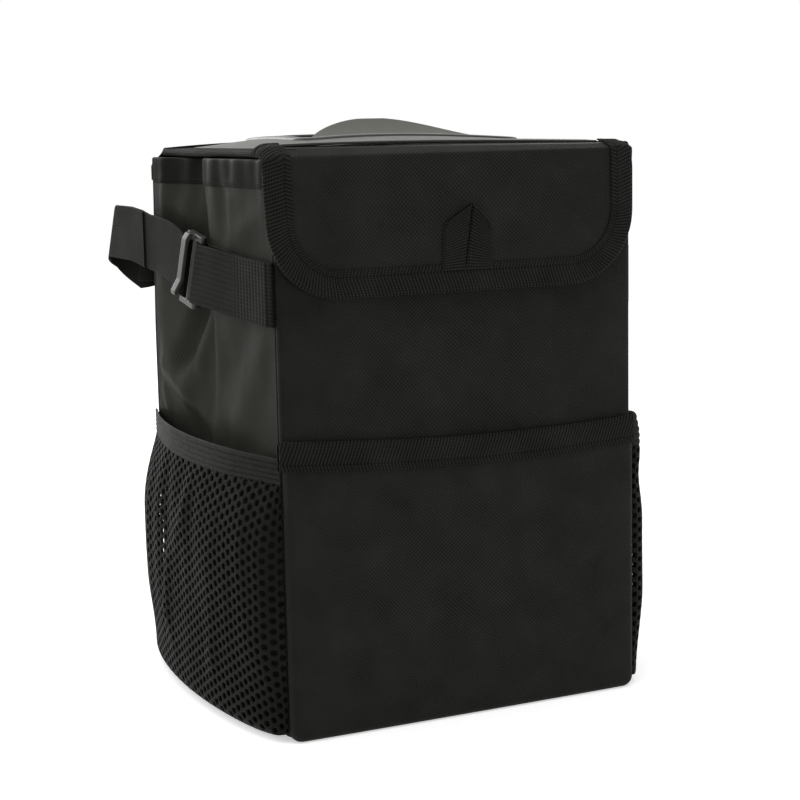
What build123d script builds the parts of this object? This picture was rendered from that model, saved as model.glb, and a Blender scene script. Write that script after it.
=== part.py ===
from build123d import *
import math
import os

# A standing cloth bin for a car, in millimetres.
# The front faces -Y, +Z is up, and the origin is the middle of the base on the floor.

# Outside of the bin
body_width = 191.0
body_depth = 185.0
fold_height = 280.0

# Cloth, board and tape
panel_thickness = 4.0
side_thickness = 1.2
liner_thickness = 0.8
tape_thickness = 0.8
tape_width = 11.0
tape_play = 0.15
patch_thickness = 1.2
edge_round = 1.2
seat_gap = 0.3

# Folds that carry the lid and the flap
fold_radius = 2.8

# Soft side walls, each with an inward crease at half depth and a slanted slack fold below the strap.
# Places along the wall are shares of its depth, and levels are shares of its height.
crease_depth = 15.0
crease_place = 0.5
crease_spread = 0.15
slack_depth = 5.0
slack_place = 0.78
slack_spread = 0.10
slack_level = 0.62
slack_level_spread = 0.13
slack_slant = 1.1
seam_hold = 8.0
wall_levels = (0.0, 0.26, 0.46, 0.55, 0.62, 0.69, 0.78, 1.0)
wall_steps = 14
hem_height = 12.0
hem_extra = 0.7

# Liner inside the walls, with a knee each side of the crease
liner_play = 0.7
liner_slack = 6.0
liner_knee = 0.57
liner_levels = (0.22, 0.51, 0.75)

# Flat pocket on the front
pocket_height = 146.0
pocket_sheet = 2.2
pocket_gap = 1.8
pocket_seam = 3.0
pocket_tape_width = 14.2
lower_corner = 6.0

# Net pockets on the sides
net_bulge = 14.0
net_thickness = 1.2
net_top = 123.5
net_floor = 0.6
net_bottom_round = 8.0
net_strips = 16
net_row = 22.0
net_strand = 2.4
net_edge_margin = 1.5
band_height = 14.0
band_extra = 0.5

# Lid with its mouth
lid_crown = 7.0
lid_inset = 1.5
lid_levels = (-1.0, -0.7, -0.35, 0.0, 0.35, 0.7, 1.0)
crown_left_at_ends = 0.05
mouth_width = 116.0
mouth_depth = 84.0
mouth_corner = 8.0
mouth_rim_width = 5.0
mouth_rim_rise = 1.0
lip_thickness = 1.6
lip_side_gap = 6.0
lip_reach = 50.0
lip_curl = 87.0
lip_curl_start = 8.0
lip_clearance = 1.1
lip_rise = 5.2
mouth_slit = 6.8
rear_lip_side_gap = 8.0
rear_lip_corner = 8.0

# Flap over the front
flap_overhang = 0.5
flap_shift = -3.6
flap_thickness = 3.0
flap_drop = 68.4
flap_corner = 36.0
flap_tape_start = 4.0
patch_width = 120.0
patch_height = 20.0
patch_rise = 6.0
tab_width = 27.0
tab_shoulder = 20.0
tab_point = 30.0
tab_thickness = 1.6
tab_slit = 0.8

# Webbing straps, clip and buckle
strap_width = 30.0
strap_thickness = 1.5
strap_drop = 60.2
strap_clip_rise = 2.1
strap_back_rise = 20.1
strap_sag = 15.0
strap_tail = 20.0
stitched_length = 40.0
strap_bend = 7.0
strap_standoff = 52.5
strap_flare = 7.5
bar_radius = 1.8
bar_play = 0.1
clip_y = 15.0
clip_pitch = 9.0
clip_rail = 3.0
clip_depth = 3.6
clip_tongue_gap = 1.6
clip_tongue_length = 30.0
clip_tongue_chamfer = 2.0
clip_tongue_flare = 4.0
clip_tongue_kick = 6.0
buckle_thickness = 11.0
buckle_wall = 2.4
buckle_rail = 3.0
socket_length = 34.0
socket_bar_reach = 10.0
plug_flange = 6.0
plug_bar_reach = 10.0
prong_length = 23.0
prong_width = 3.8
buckle_fit = 0.3
buckle_mouth_x = -50.0

os.makedirs("parts", exist_ok=True)

half_width = body_width / 2
half_depth = body_depth / 2
inner_depth = half_depth - panel_thickness
fold_z = fold_height - fold_radius
lid_low = fold_z - panel_thickness / 2
lid_high = fold_z + panel_thickness / 2
tape_layer = tape_thickness + tape_play
rim_height = min(fold_z - fold_radius, lid_low - tape_layer) - seat_gap


def block(low, high):
    """Box between two opposite corners."""
    size = [b - a for a, b in zip(low, high)]
    middle = [(a + b) / 2 for a, b in zip(low, high)]
    return Pos(*middle) * Box(*size)


def rod(start, axis, length, radius):
    """Round bar from a start point along an axis."""
    return Solid.make_cylinder(radius, length, Plane(origin=start, z_dir=axis))


def front_edges(shape):
    """Edges round the outermost face on the front."""
    return shape.faces().sort_by(Axis.Y)[0].edges()


def lower_edges(shape):
    """The two lowest edges that run front to back."""
    return shape.edges().filter_by(Axis.Y).group_by(Axis.Z)[0]


def folded(sections):
    """Closed solid of flat facets through a stack of closed outlines with equal numbers of points."""
    stack = [[Vector(*point) for point in outline] for outline in sections]
    faces = [Face(Wire.make_polygon(stack[0])), Face(Wire.make_polygon(stack[-1]))]
    for below, above in zip(stack, stack[1:]):
        for k in range(len(below)):
            a, b, c, d = below[k - 1], below[k], above[k], above[k - 1]
            short_way = (a - c).length < (b - d).length
            halves = ((a, b, c), (a, c, d)) if short_way else ((a, b, d), (b, c, d))
            faces += [Face(Wire.make_polygon(corners)) for corners in halves]
    return Solid(Shell(faces))


# Board panels: the front and back stand on the floor and the base lies between them.
front_panel = block((-half_width, -half_depth, 0), (half_width, -inner_depth, rim_height))
front_panel = fillet(lower_edges(front_panel), lower_corner)
front_panel = chamfer(front_edges(front_panel), edge_round)
back_panel = mirror(front_panel, about=Plane.XZ)
base_edge = half_width - side_thickness - seat_gap
base_panel = block((-base_edge, -inner_depth, 0), (base_edge, inner_depth, panel_thickness))


# Soft side walls: cloth between the boards, drawn in by the crease and the slack fold.
def hump(place, centre, spread):
    """Smooth rise and fall, 1 at its centre."""
    return math.exp(-((place - centre) / spread) ** 2)


def side_inset(along, level):
    """How far the side cloth is drawn in; along is 0 at the front and 1 at the back."""
    held = min(1.0, seam_hold * along, seam_hold * (1.0 - along))
    crease = crease_depth * level ** 2 * hump(along, crease_place, crease_spread)
    slack_centre = slack_place - slack_slant * (level - slack_level)
    slack = hump(along, slack_centre, slack_spread) * hump(level, slack_level, slack_level_spread)
    return held * (crease + slack_depth * slack)


def side_section(height, outer, inner):
    """Closed outline of the left wall at one height, between two offsets from its outer face."""
    fractions = [k / wall_steps for k in range(wall_steps + 1)]
    depths = [-inner_depth + 2 * inner_depth * f for f in fractions]
    faces = [-half_width + side_inset(f, height / rim_height) for f in fractions]
    outside = [(x + outer, y, height) for x, y in zip(faces, depths)]
    inside = [(x + inner, y, height) for x, y in zip(faces, depths)]
    return outside + inside[::-1]


hem_bottom = rim_height - hem_height
wall = folded([side_section(level * rim_height, 0.0, side_thickness) for level in wall_levels])
hem = folded([side_section(height, -hem_extra, side_thickness / 2) for height in (hem_bottom, rim_height)])
left_side_panel = wall + hem
right_side_panel = mirror(left_side_panel, about=Plane.YZ)


# Liner: a thin tub that follows the walls, open at the top.
def liner_section(height, margin):
    """Outline of the liner at one height, drawn in by a margin from the walls."""
    level = height / rim_height
    x_corner = half_width - side_thickness - margin
    x_knee = x_corner - liner_slack * min(1.0, 2 * level)
    x_crease = x_knee - crease_depth * level ** 2
    y_end = inner_depth - margin
    y_knee = liner_knee * inner_depth
    right = [(x_corner, -y_end), (x_knee, -y_knee), (x_crease, 0), (x_knee, y_knee), (x_corner, y_end)]
    corners = right + [(-x, -y) for x, y in right]
    return [(x, y, height) for x, y in corners]


liner_top = rim_height - hem_height / 2
liner_heights = [panel_thickness] + [level * rim_height for level in liner_levels] + [liner_top]
liner_outside = folded([liner_section(h, liner_play) for h in liner_heights])
inside_heights = [panel_thickness + liner_thickness] + liner_heights[1:]
inside_margin = liner_play + liner_thickness
liner_inside = folded([liner_section(h, inside_margin) for h in inside_heights])
liner = liner_outside - liner_inside

# Front pocket: a stiff sheet whose sides and bottom are turned in and sewn to the front panel.
pocket_front = -half_depth - pocket_gap - pocket_sheet
pocket_top = pocket_height - tape_thickness
front_pocket = block((-half_width, pocket_front, 0), (half_width, -half_depth, pocket_top))
front_pocket = fillet(lower_edges(front_pocket), lower_corner)
front_pocket = chamfer(front_edges(front_pocket), edge_round)
pocket_side = half_width - pocket_seam
pocket_back = -half_depth - pocket_gap
front_pocket -= block((-pocket_side, pocket_back, pocket_seam), (pocket_side, 0, pocket_height))

# Tape folded over the pocket's top edge.
tape_low = (-half_width, pocket_front - tape_thickness, pocket_height - pocket_tape_width)
tape_high = (half_width, pocket_back + tape_thickness, pocket_height)
front_pocket_binding = block(tape_low, tape_high) - front_pocket

# Net side pocket: a bulged net with a rounded bottom, sewn along the front and back edges.
# Its wall is made of narrow flat strips, and each column of gaps stands on the fold between two of them.
seam_x = -half_width - seat_gap
net_chord = half_depth - seat_gap
net_radius = (net_chord ** 2 + net_bulge ** 2) / (2 * net_bulge)
net_axis_x = seam_x - net_bulge + net_radius
net_sweep = math.asin(net_chord / net_radius)
net_folds = [net_sweep * (2 * k / net_strips - 1) for k in range(net_strips + 1)]
round_z = net_floor + net_bottom_round
round_share = 1 - math.sqrt(0.5)


def net_outline(inset, height):
    """Outline of the bulge at one height, drawn in towards the bulge's axis."""
    radius = net_radius - inset
    return [(net_axis_x - radius * math.cos(a), radius * math.sin(a), height) for a in net_folds]


def net_form(inset, floor):
    """Solid bulge with a rounded bottom, drawn in by the wall's thickness or by nothing."""
    outlines = [
        net_outline(net_bottom_round, floor),
        net_outline(inset + (net_bottom_round - inset) * round_share, floor + (round_z - floor) * round_share),
        net_outline(inset, round_z),
        net_outline(inset, net_top),
    ]
    return Solid.make_loft([Wire.make_polygon([Vector(*p) for p in outline]) for outline in outlines], ruled=True)


outside_side = block((seam_x - 3 * net_bulge, -body_depth, -1), (seam_x, body_depth, fold_height))
left_net = net_form(0, net_floor) - net_form(net_thickness, net_floor + net_thickness)
left_net = left_net & outside_side

# Diamond gaps of the net, in staggered rows that keep clear of the seams, the band and the rounded bottom.
gap_y = net_chord / net_strips * 2 - net_strand * math.sqrt(0.5)
gap_z = (net_row - net_strand * math.sqrt(2)) / 2
gap_low = round_z + gap_z + net_edge_margin
gap_high = net_top - gap_z - net_edge_margin
gap_rows = int((gap_high - gap_low) / (net_row / 2)) + 1
diamond = Plane.YZ * Polygon((-gap_y, 0), (0, -gap_z), (gap_y, 0), (0, gap_z))
diamond = extrude(diamond, 4 * net_bulge, both=True)
gaps = []
for row in range(gap_rows):
    row_z = gap_low + row * net_row / 2
    for fold in net_folds[2 + row % 2:-2:2]:
        gaps.append(Pos(seam_x, net_radius * math.sin(fold), row_z) * diamond)
left_net_pocket = left_net - gaps
right_net_pocket = mirror(left_net_pocket, about=Plane.YZ)

# Elastic band that closes the net's top edge.
band_outer = net_radius + band_extra
band_inner = net_radius - net_thickness - band_extra
band_start = Pos(net_axis_x, 0, net_top + band_height / 2)
band_ring = band_start * Cylinder(band_outer, band_height) - band_start * Cylinder(band_inner, band_height)
left_net_band = band_ring & outside_side
right_net_band = mirror(left_net_band, about=Plane.YZ)


# Lid: a cloth-covered board that crowns up in the middle and turns on a rolled edge at the back.
lid_front = -half_depth + seat_gap / 2
lid_axis_y = half_depth - fold_radius / 2
lid_width = body_width - 2 * lid_inset


def crowned(width, low, high):
    """Crowned sheet as wide as given, with its faces at two heights along the lid's side edges."""
    sections = []
    for step in lid_levels:
        y = lid_front + (lid_axis_y - lid_front) * (step + 1) / 2
        rise = lid_crown * (1 - (1 - crown_left_at_ends) * step ** 2)
        places = [width / 2 * level for level in lid_levels]
        lifts = [rise * (1 - (2 * x / lid_width) ** 2) for x in places]
        below = [(x, y, low + lift) for x, lift in zip(places, lifts)]
        above = [(x, y, high + lift) for x, lift in zip(places, lifts)]
        sections.append(below + above[::-1])
    return folded(sections)


mouth_cut = extrude(RectangleRounded(mouth_width, mouth_depth, mouth_corner), 2 * fold_height)
lid_roll = rod((-lid_width / 2, lid_axis_y, fold_z), (1, 0, 0), lid_width, fold_radius)
lid_panel = crowned(lid_width, lid_low, lid_high) + lid_roll - mouth_cut

# Tapes folded over the lid's side edges, clear of the rolled edge.
lid_tape_end = lid_axis_y - fold_radius - seat_gap
lid_tape_inner = lid_width / 2 - tape_width + tape_thickness
taped = crowned(lid_width + 2 * tape_layer, lid_low - tape_layer, lid_high + tape_layer)
taped -= crowned(lid_width + 2 * tape_play, lid_low - tape_play, lid_high + tape_play)
left_lid_zone = block((-body_width, -body_depth, 0), (-lid_tape_inner, lid_tape_end, 2 * fold_height))
left_lid_binding = taped & left_lid_zone
right_lid_binding = mirror(left_lid_binding, about=Plane.YZ)

# Raised trim round the mouth.
trim_width = mouth_width + 2 * mouth_rim_width
trim_depth = mouth_depth + 2 * mouth_rim_width
trim_outline = RectangleRounded(trim_width, trim_depth, mouth_corner + mouth_rim_width)
trim_zone = extrude(trim_outline, 2 * fold_height) - mouth_cut
mouth_rim = crowned(lid_width, lid_high + tape_play, lid_high + tape_play + mouth_rim_rise) & trim_zone

# Rubber lips in the mouth: a curled half-round tongue at the front and a plain strip at the back.
lip_height = fold_z + lip_rise
lip_radius = mouth_width / 2 - lip_side_gap
lip_root = -mouth_depth / 2 + lip_clearance
lip_edge = lip_root - lip_thickness / 4
curl_y = lip_root + lip_curl_start
curl_z = lip_height + lip_curl
curl_start = (-half_width, curl_y, curl_z)
curl_shell = rod(curl_start, (1, 0, 0), body_width, lip_curl + lip_thickness / 2)
curl_shell -= rod(curl_start, (1, 0, 0), body_width, lip_curl - lip_thickness / 2)
tongue_disc = Pos(0, lip_root, lip_height) * Cylinder(lip_radius, lip_curl)
tongue_low = (-lip_radius, lip_edge, lip_height - lip_thickness)
tongue_high = (lip_radius, lip_root + lip_reach, lip_height + lip_curl / 2)
front_lip = curl_shell & tongue_disc & block(tongue_low, tongue_high)
rear_lip_width = mouth_width - 2 * rear_lip_side_gap
rear_lip_reach = mouth_depth - 2 * lip_clearance - lip_reach - mouth_slit
rear_low = (-rear_lip_width / 2, -lip_root - rear_lip_reach, lip_height - lip_thickness / 2)
rear_high = (rear_lip_width / 2, -lip_edge, lip_height + lip_thickness / 2)
rear_lip = block(rear_low, rear_high)
rear_lip = fillet(rear_lip.edges().filter_by(Axis.Z).group_by(Axis.Y)[0], rear_lip_corner)

# Flap: hangs from a rolled edge at the lid's front, with a taped border and rounded lower corners.
flap_axis_y = lid_front - seat_gap - fold_radius
flap_face = flap_axis_y - fold_radius
flap_back = flap_face + flap_thickness
flap_bottom = fold_height - flap_drop
flap_width = body_width + 2 * flap_overhang
flap_left = flap_shift - flap_width / 2
flap_right = flap_shift + flap_width / 2


def flap_shape(inset, front, back, top):
    """Sheet with the flap's outline, drawn in by an inset, between two depths."""
    low = (flap_left + inset, front, flap_bottom + inset)
    high = (flap_right - inset, back, top)
    return fillet(lower_edges(block(low, high)), flap_corner - inset)


flap_sheet = flap_shape(tape_thickness, flap_face, flap_back, fold_z)
flap_roll_length = flap_width - 2 * tape_thickness
flap_roll = rod((flap_left + tape_thickness, flap_axis_y, fold_z), (1, 0, 0), flap_roll_length, fold_radius)
flap_panel = flap_sheet + flap_roll
flap_tape_top = fold_z - flap_tape_start
flap_border = flap_shape(0, flap_face - tape_thickness, flap_back + tape_thickness, flap_tape_top)
flap_field = flap_shape(tape_width, flap_face - panel_thickness, flap_back + panel_thickness, fold_height)
flap_binding = flap_border - flap_field - flap_panel

# Pull tab: narrow webbing folded to a point, its two legs side by side above the border tape.
tab_base = flap_bottom + tape_width
tab_half = tab_width / 2
tab_outline = Polygon(
    (-tab_half, 0),
    (tab_half, 0),
    (tab_half, tab_shoulder),
    (0, tab_point),
    (-tab_half, tab_shoulder),
    align=None,
)
tab_slot = Pos(0, tab_shoulder / 2) * Rectangle(tab_slit, tab_shoulder)
tab_plane = Plane(origin=(0, flap_face, tab_base), x_dir=(1, 0, 0), z_dir=(0, -1, 0))
pull_tab = extrude(tab_plane * (tab_outline - tab_slot), tab_thickness)

# Hook and loop patches that hold the flap down.
patch_base = flap_bottom + tape_width + patch_rise
hook_low = (-patch_width / 2, flap_back, patch_base)
hook_high = (patch_width / 2, flap_back + patch_thickness, patch_base + patch_height)
hook_patch = block(hook_low, hook_high)
loop_low = (-patch_width / 2, -half_depth - patch_thickness, patch_base)
loop_high = (patch_width / 2, -half_depth, patch_base + patch_height)
loop_patch = block(loop_low, loop_high)


# Webbing: upright stretches between points, and rings where it turns round a bar or a corner.
wrap_radius = bar_radius + bar_play + strap_thickness / 2
side_layer = half_width + seat_gap + strap_thickness / 2
strap_root_z = rim_height - strap_drop
strap_clip_z = strap_root_z + strap_clip_rise
strap_back_z = strap_root_z + strap_back_rise


def run_back(start, end):
    """Stretch of webbing that lies along the side and may rise and flare."""
    plane = Plane(origin=start, x_dir=(1, 0, 0), z_dir=(0, 1, 0))
    profile = Face(Wire.make_rect(strap_thickness, strap_width, plane))
    return Solid.extrude(profile, Vector(*end) - Vector(*start))


def run_across(start, end):
    """Stretch of webbing that lies across the back and may rise."""
    plane = Plane(origin=start, x_dir=(0, 1, 0), z_dir=(1, 0, 0))
    profile = Face(Wire.make_rect(strap_thickness, strap_width, plane))
    return Solid.extrude(profile, Vector(*end) - Vector(*start))


def turn(x, y, z, radius, x_side, y_side):
    """Part of a webbing ring about an upright axis; a side of 0 keeps both halves."""
    place = Pos(x, y, z)
    ring = place * Cylinder(radius + strap_thickness / 2, strap_width)
    ring -= place * Cylinder(radius - strap_thickness / 2, strap_width)
    reach = 2 * radius + strap_thickness
    x_low, x_high = sorted((x, x + reach * x_side)) if x_side else (x - reach, x + reach)
    y_low, y_high = sorted((y, y + reach * y_side)) if y_side else (y - reach, y + reach)
    return ring & block((x_low, y_low, z - strap_width), (x_high, y_high, z + strap_width))


# Short doubled webbing from the left front seam to the clip's front bar.
clip_front_y = clip_y - clip_pitch
clip_rear_y = clip_y + clip_pitch
clip_x = -side_layer - wrap_radius
clip_outer_x = clip_x - wrap_radius
seam_y = -half_depth + edge_round
doubled_inner = run_back((-side_layer, seam_y, strap_root_z), (-side_layer, clip_front_y, strap_clip_z))
stitched_rise = strap_clip_rise * stitched_length / (clip_front_y - seam_y)
stitched_start = (-side_layer - strap_thickness, seam_y, strap_root_z)
stitched_end = (-side_layer - strap_thickness, seam_y + stitched_length, strap_root_z + stitched_rise)
stitched_block = run_back(stitched_start, stitched_end)
doubled_outer = run_back(stitched_end, (clip_outer_x, clip_front_y, strap_clip_z))
clip_turn = turn(clip_x, clip_front_y, strap_clip_z, wrap_radius, 0, 1)
clip_webbing = doubled_inner + stitched_block + doubled_outer + clip_turn

# Left strap: from the clip's rear bar along the side, round the corner and down to the plug.
corner_x = half_width + strap_flare - strap_bend
corner_y = half_depth + strap_standoff - strap_bend
across_y = corner_y + strap_bend
buckle_z = strap_back_z - strap_sag
plug_bar_x = buckle_mouth_x - plug_flange - plug_bar_reach
bar_y = across_y - wrap_radius
side_tail = run_back((-side_layer, clip_rear_y + strap_tail, strap_clip_z), (-side_layer, clip_rear_y, strap_clip_z))
side_run = run_back((clip_outer_x, clip_rear_y, strap_clip_z), (-corner_x - strap_bend, corner_y, strap_back_z))
across_run = run_across((-corner_x, across_y, strap_back_z), (plug_bar_x, across_y, buckle_z))
plug_tail_y = bar_y - wrap_radius
plug_tail = run_across((plug_bar_x - strap_tail, plug_tail_y, buckle_z), (plug_bar_x, plug_tail_y, buckle_z))
left_strap = side_tail + turn(clip_x, clip_rear_y, strap_clip_z, wrap_radius, 0, -1) + side_run
left_strap += turn(-corner_x, corner_y, strap_back_z, strap_bend, -1, 1)
left_strap += across_run
left_strap += turn(plug_bar_x, bar_y, buckle_z, wrap_radius, 1, 0)
left_strap += plug_tail

# Right strap: from the right front seam along the side, round the corner and down to the socket.
socket_end_x = buckle_mouth_x + socket_length
socket_bar_x = socket_end_x + socket_bar_reach
right_start = (side_layer, -inner_depth, strap_root_z)
right_run = run_back(right_start, (corner_x + strap_bend, corner_y, strap_back_z))
right_across = run_across((corner_x, across_y, strap_back_z), (socket_bar_x, across_y, buckle_z))
socket_tail = run_across((socket_bar_x + strap_tail, plug_tail_y, buckle_z), (socket_bar_x, plug_tail_y, buckle_z))
right_strap = right_run + turn(corner_x, corner_y, strap_back_z, strap_bend, 1, 1)
right_strap += right_across
right_strap += turn(socket_bar_x, bar_y, buckle_z, wrap_radius, -1, 0)
right_strap += socket_tail

# Strap clip: a ladder of three bars between two rails, with a springy tongue outside it.
slot_half = strap_width / 2 + seat_gap
rail_half = slot_half + clip_rail
clip_parts = []
for bar_place in (clip_front_y, clip_y, clip_rear_y):
    bar_start = (clip_x, bar_place, strap_clip_z - slot_half - clip_rail / 2)
    clip_parts.append(rod(bar_start, (0, 0, 1), 2 * slot_half + clip_rail, bar_radius))
for low, high in ((slot_half, rail_half), (-rail_half, -slot_half)):
    rail_low = (clip_x - clip_depth / 2, clip_front_y - bar_radius, strap_clip_z + low)
    rail_high = (clip_x + clip_depth / 2, clip_rear_y + bar_radius, strap_clip_z + high)
    rail = block(rail_low, rail_high)
    clip_parts.append(fillet(rail.edges().filter_by(Axis.Z), bar_radius * 0.9))
tongue_out = clip_x - wrap_radius - strap_thickness - clip_tongue_gap
tongue_top = strap_clip_z + rail_half
tongue_tip = tongue_top - clip_tongue_length
tongue_path = Polyline(
    (clip_x, 0, tongue_top - clip_rail / 2),
    (tongue_out + clip_tongue_chamfer, 0, tongue_top - clip_rail / 2),
    (tongue_out, 0, tongue_top - clip_rail / 2 - clip_tongue_chamfer),
    (tongue_out, 0, tongue_tip + clip_tongue_kick),
    (tongue_out - clip_tongue_flare, 0, tongue_tip),
)
tongue_sheet = offset(tongue_path, clip_rail / 2, side=Side.BOTH)
tongue_solid = extrude(make_face(tongue_sheet), clip_pitch / 3, both=True)
clip_parts.append(Pos(0, clip_y + clip_pitch / 3, 0) * tongue_solid)
strap_clip = clip_parts[0]
for piece in clip_parts[1:]:
    strap_clip = strap_clip + piece

# Buckle socket: a flat hollow housing with side windows and a bar for the right strap.
buckle_half = rail_half
shell_low = (buckle_mouth_x, bar_y - buckle_thickness / 2, buckle_z - buckle_half)
shell_high = (socket_end_x, bar_y + buckle_thickness / 2, buckle_z + buckle_half)
buckle_socket = block(shell_low, shell_high)
buckle_socket = chamfer(buckle_socket.edges().filter_by(Axis.X), buckle_wall)
hollow_y = buckle_thickness / 2 - buckle_wall
hollow_z = buckle_half - buckle_wall
hollow_low = (buckle_mouth_x - 1, bar_y - hollow_y, buckle_z - hollow_z)
hollow_high = (socket_end_x - buckle_wall, bar_y + hollow_y, buckle_z + hollow_z)
buckle_socket -= block(hollow_low, hollow_high)
window_start = buckle_mouth_x + socket_length / 4
window_end = buckle_mouth_x + prong_length + 1
window_low = (window_start, bar_y - hollow_y, buckle_z - 2 * buckle_half)
window_high = (window_end, bar_y + hollow_y, buckle_z + 2 * buckle_half)
buckle_socket -= block(window_low, window_high)


def strap_bar(bar_x, body_x):
    """Round bar between two rails that stand out from a buckle half."""
    bar = rod((bar_x, bar_y, buckle_z - slot_half - buckle_rail / 2), (0, 0, 1), 2 * slot_half + buckle_rail, bar_radius)
    x_low, x_high = sorted((bar_x, body_x))
    for z_low, z_high in ((slot_half, rail_half), (-rail_half, -slot_half)):
        rail_start = (x_low - bar_radius, bar_y - bar_radius, buckle_z + z_low)
        rail_end = (x_high + bar_radius, bar_y + bar_radius, buckle_z + z_high)
        bar = bar + block(rail_start, rail_end)
    return bar


buckle_socket += strap_bar(socket_bar_x, socket_end_x - bar_radius)

# Buckle plug: a flange with two prongs and a middle guide that slide into the socket.
plug_y = hollow_y - buckle_fit
plug_z = hollow_z - buckle_fit
flange_low = (buckle_mouth_x - plug_flange, bar_y - buckle_thickness / 2, buckle_z - buckle_half)
flange_high = (buckle_mouth_x - buckle_fit, bar_y + buckle_thickness / 2, buckle_z + buckle_half)
buckle_plug = block(flange_low, flange_high)
buckle_plug = chamfer(buckle_plug.edges().filter_by(Axis.X), buckle_wall)
prong_start = buckle_mouth_x - plug_flange / 2
prong_end = buckle_mouth_x + prong_length
prong_low = (prong_start, bar_y - plug_y, buckle_z + plug_z - prong_width)
prong_high = (prong_end, bar_y + plug_y, buckle_z + plug_z)
prong = block(prong_low, prong_high)
prong = fillet(prong.edges().filter_by(Axis.Y).group_by(Axis.X)[-1], prong_width / 3)
guide_low = (prong_start, bar_y - plug_y, buckle_z - prong_width)
guide_high = (prong_end - prong_length / 3, bar_y + plug_y, buckle_z + prong_width)
buckle_plug += prong
buckle_plug += mirror(prong, about=Plane.XY.offset(buckle_z))
buckle_plug += block(guide_low, guide_high)
buckle_plug += strap_bar(plug_bar_x, buckle_mouth_x - plug_flange + bar_radius)

# Tape that carries the lid's rolled edge, sewn to the back panel.
hinge_low = (-lid_width / 2, half_depth, rim_height - tape_width)
hinge_high = (lid_width / 2, half_depth + tape_thickness, rim_height - edge_round)
hinge_tape = block(hinge_low, hinge_high)

nodes = {
    "front_panel": front_panel,
    "back_panel": back_panel,
    "base_panel": base_panel,
    "left_side_panel": left_side_panel,
    "right_side_panel": right_side_panel,
    "liner": liner,
    "front_pocket": front_pocket,
    "front_pocket_binding": front_pocket_binding,
    "left_net_pocket": left_net_pocket,
    "right_net_pocket": right_net_pocket,
    "left_net_band": left_net_band,
    "right_net_band": right_net_band,
    "loop_patch": loop_patch,
    "hinge_tape": hinge_tape,
    "clip_webbing": clip_webbing,
    "strap_clip": strap_clip,
    "left_strap": left_strap,
    "right_strap": right_strap,
    "buckle_socket": buckle_socket,
    "buckle_plug": buckle_plug,
    "lid_panel": lid_panel,
    "left_lid_binding": left_lid_binding,
    "right_lid_binding": right_lid_binding,
    "mouth_rim": mouth_rim,
    "front_lip": front_lip,
    "rear_lip": rear_lip,
    "flap_panel": flap_panel,
    "flap_binding": flap_binding,
    "pull_tab": pull_tab,
    "hook_patch": hook_patch,
}

for name, shape in nodes.items():
    solids = shape.solids()
    export_step(solids[0] if len(solids) == 1 else Compound(children=solids), f"parts/{name}.step")
    print(name, len(solids), round(sum(s.volume for s in solids)))
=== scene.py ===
import math

import bpy
import numpy as np
from mathutils import Matrix, Vector, noise


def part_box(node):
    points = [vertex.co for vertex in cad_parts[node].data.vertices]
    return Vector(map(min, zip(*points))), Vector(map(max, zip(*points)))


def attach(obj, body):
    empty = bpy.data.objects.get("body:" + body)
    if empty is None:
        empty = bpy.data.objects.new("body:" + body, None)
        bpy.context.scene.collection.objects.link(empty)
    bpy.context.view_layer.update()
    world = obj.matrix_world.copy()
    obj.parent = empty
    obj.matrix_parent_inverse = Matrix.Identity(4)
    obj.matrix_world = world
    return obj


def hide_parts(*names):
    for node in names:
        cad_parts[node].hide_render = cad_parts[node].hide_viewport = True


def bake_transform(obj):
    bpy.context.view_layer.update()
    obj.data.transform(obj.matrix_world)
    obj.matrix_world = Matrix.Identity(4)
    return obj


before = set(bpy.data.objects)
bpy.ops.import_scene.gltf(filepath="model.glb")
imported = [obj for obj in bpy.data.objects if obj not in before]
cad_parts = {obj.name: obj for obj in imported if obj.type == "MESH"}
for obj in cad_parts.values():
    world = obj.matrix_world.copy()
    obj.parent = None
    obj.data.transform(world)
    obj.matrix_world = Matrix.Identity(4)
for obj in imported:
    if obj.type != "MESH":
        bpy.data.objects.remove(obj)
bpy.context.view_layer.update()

# Camera: the bin is seen from its front left, from just above the height of its lid.
# The lens is long, so the sides close in only a little towards the back.
view_turn = math.radians(-25.35)
view_rise = math.radians(8.58)
view_roll = math.radians(-1.17)
view_distance = 0.96427
view_target = Vector((0, 0, 0.14))
slide_right = 0.00878
slide_up = 0.00557
picture_side = 800
focal_pixels = 1810.27
sensor_width = 36

away = Vector((
    math.sin(view_turn) * math.cos(view_rise),
    -math.cos(view_turn) * math.cos(view_rise),
    math.sin(view_rise),
))
level_right = (-away).cross(Vector((0, 0, 1))).normalized()
level_up = level_right.cross(-away)
right = level_right * math.cos(view_roll) + level_up * math.sin(view_roll)
up = level_up * math.cos(view_roll) - level_right * math.sin(view_roll)
stand = Matrix((right, up, away)).transposed().to_4x4()
stand.translation = view_target + right * slide_right + up * slide_up + away * view_distance
bpy.ops.object.select_all(action="DESELECT")
bpy.ops.object.camera_add()
camera = bpy.context.object
camera.matrix_world = stand
camera.data.sensor_width = sensor_width
camera.data.lens = focal_pixels / picture_side * sensor_width
bpy.context.scene.camera = camera
bpy.context.scene.view_settings.view_transform = "Standard"

# Studio: a white floor and an even white room, with soft lamps above, at the left, behind and low in front.
# The floor looks white to the lens and still takes the bin's shadow.
# Each lamp has a place, a side and a power.
white = (1, 1, 1, 1)
floor_side = 8.0
floor_colour = (0.88, 0.88, 0.88, 1)
floor_roughness = 0.9
floor_lift = 0.5
room_light = 0.62
lamps = {
    "top_lamp": ((-0.15, -0.25, 1.35), 1.2, 6.0),
    "left_lamp": ((-1.25, 0.35, 0.85), 0.6, 3.0),
    "back_lamp": ((-0.35, 1.5, 0.75), 1.0, 9.0),
    "low_lamp": ((0.15, -1.4, 0.10), 0.5, 4.5),
}


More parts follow.
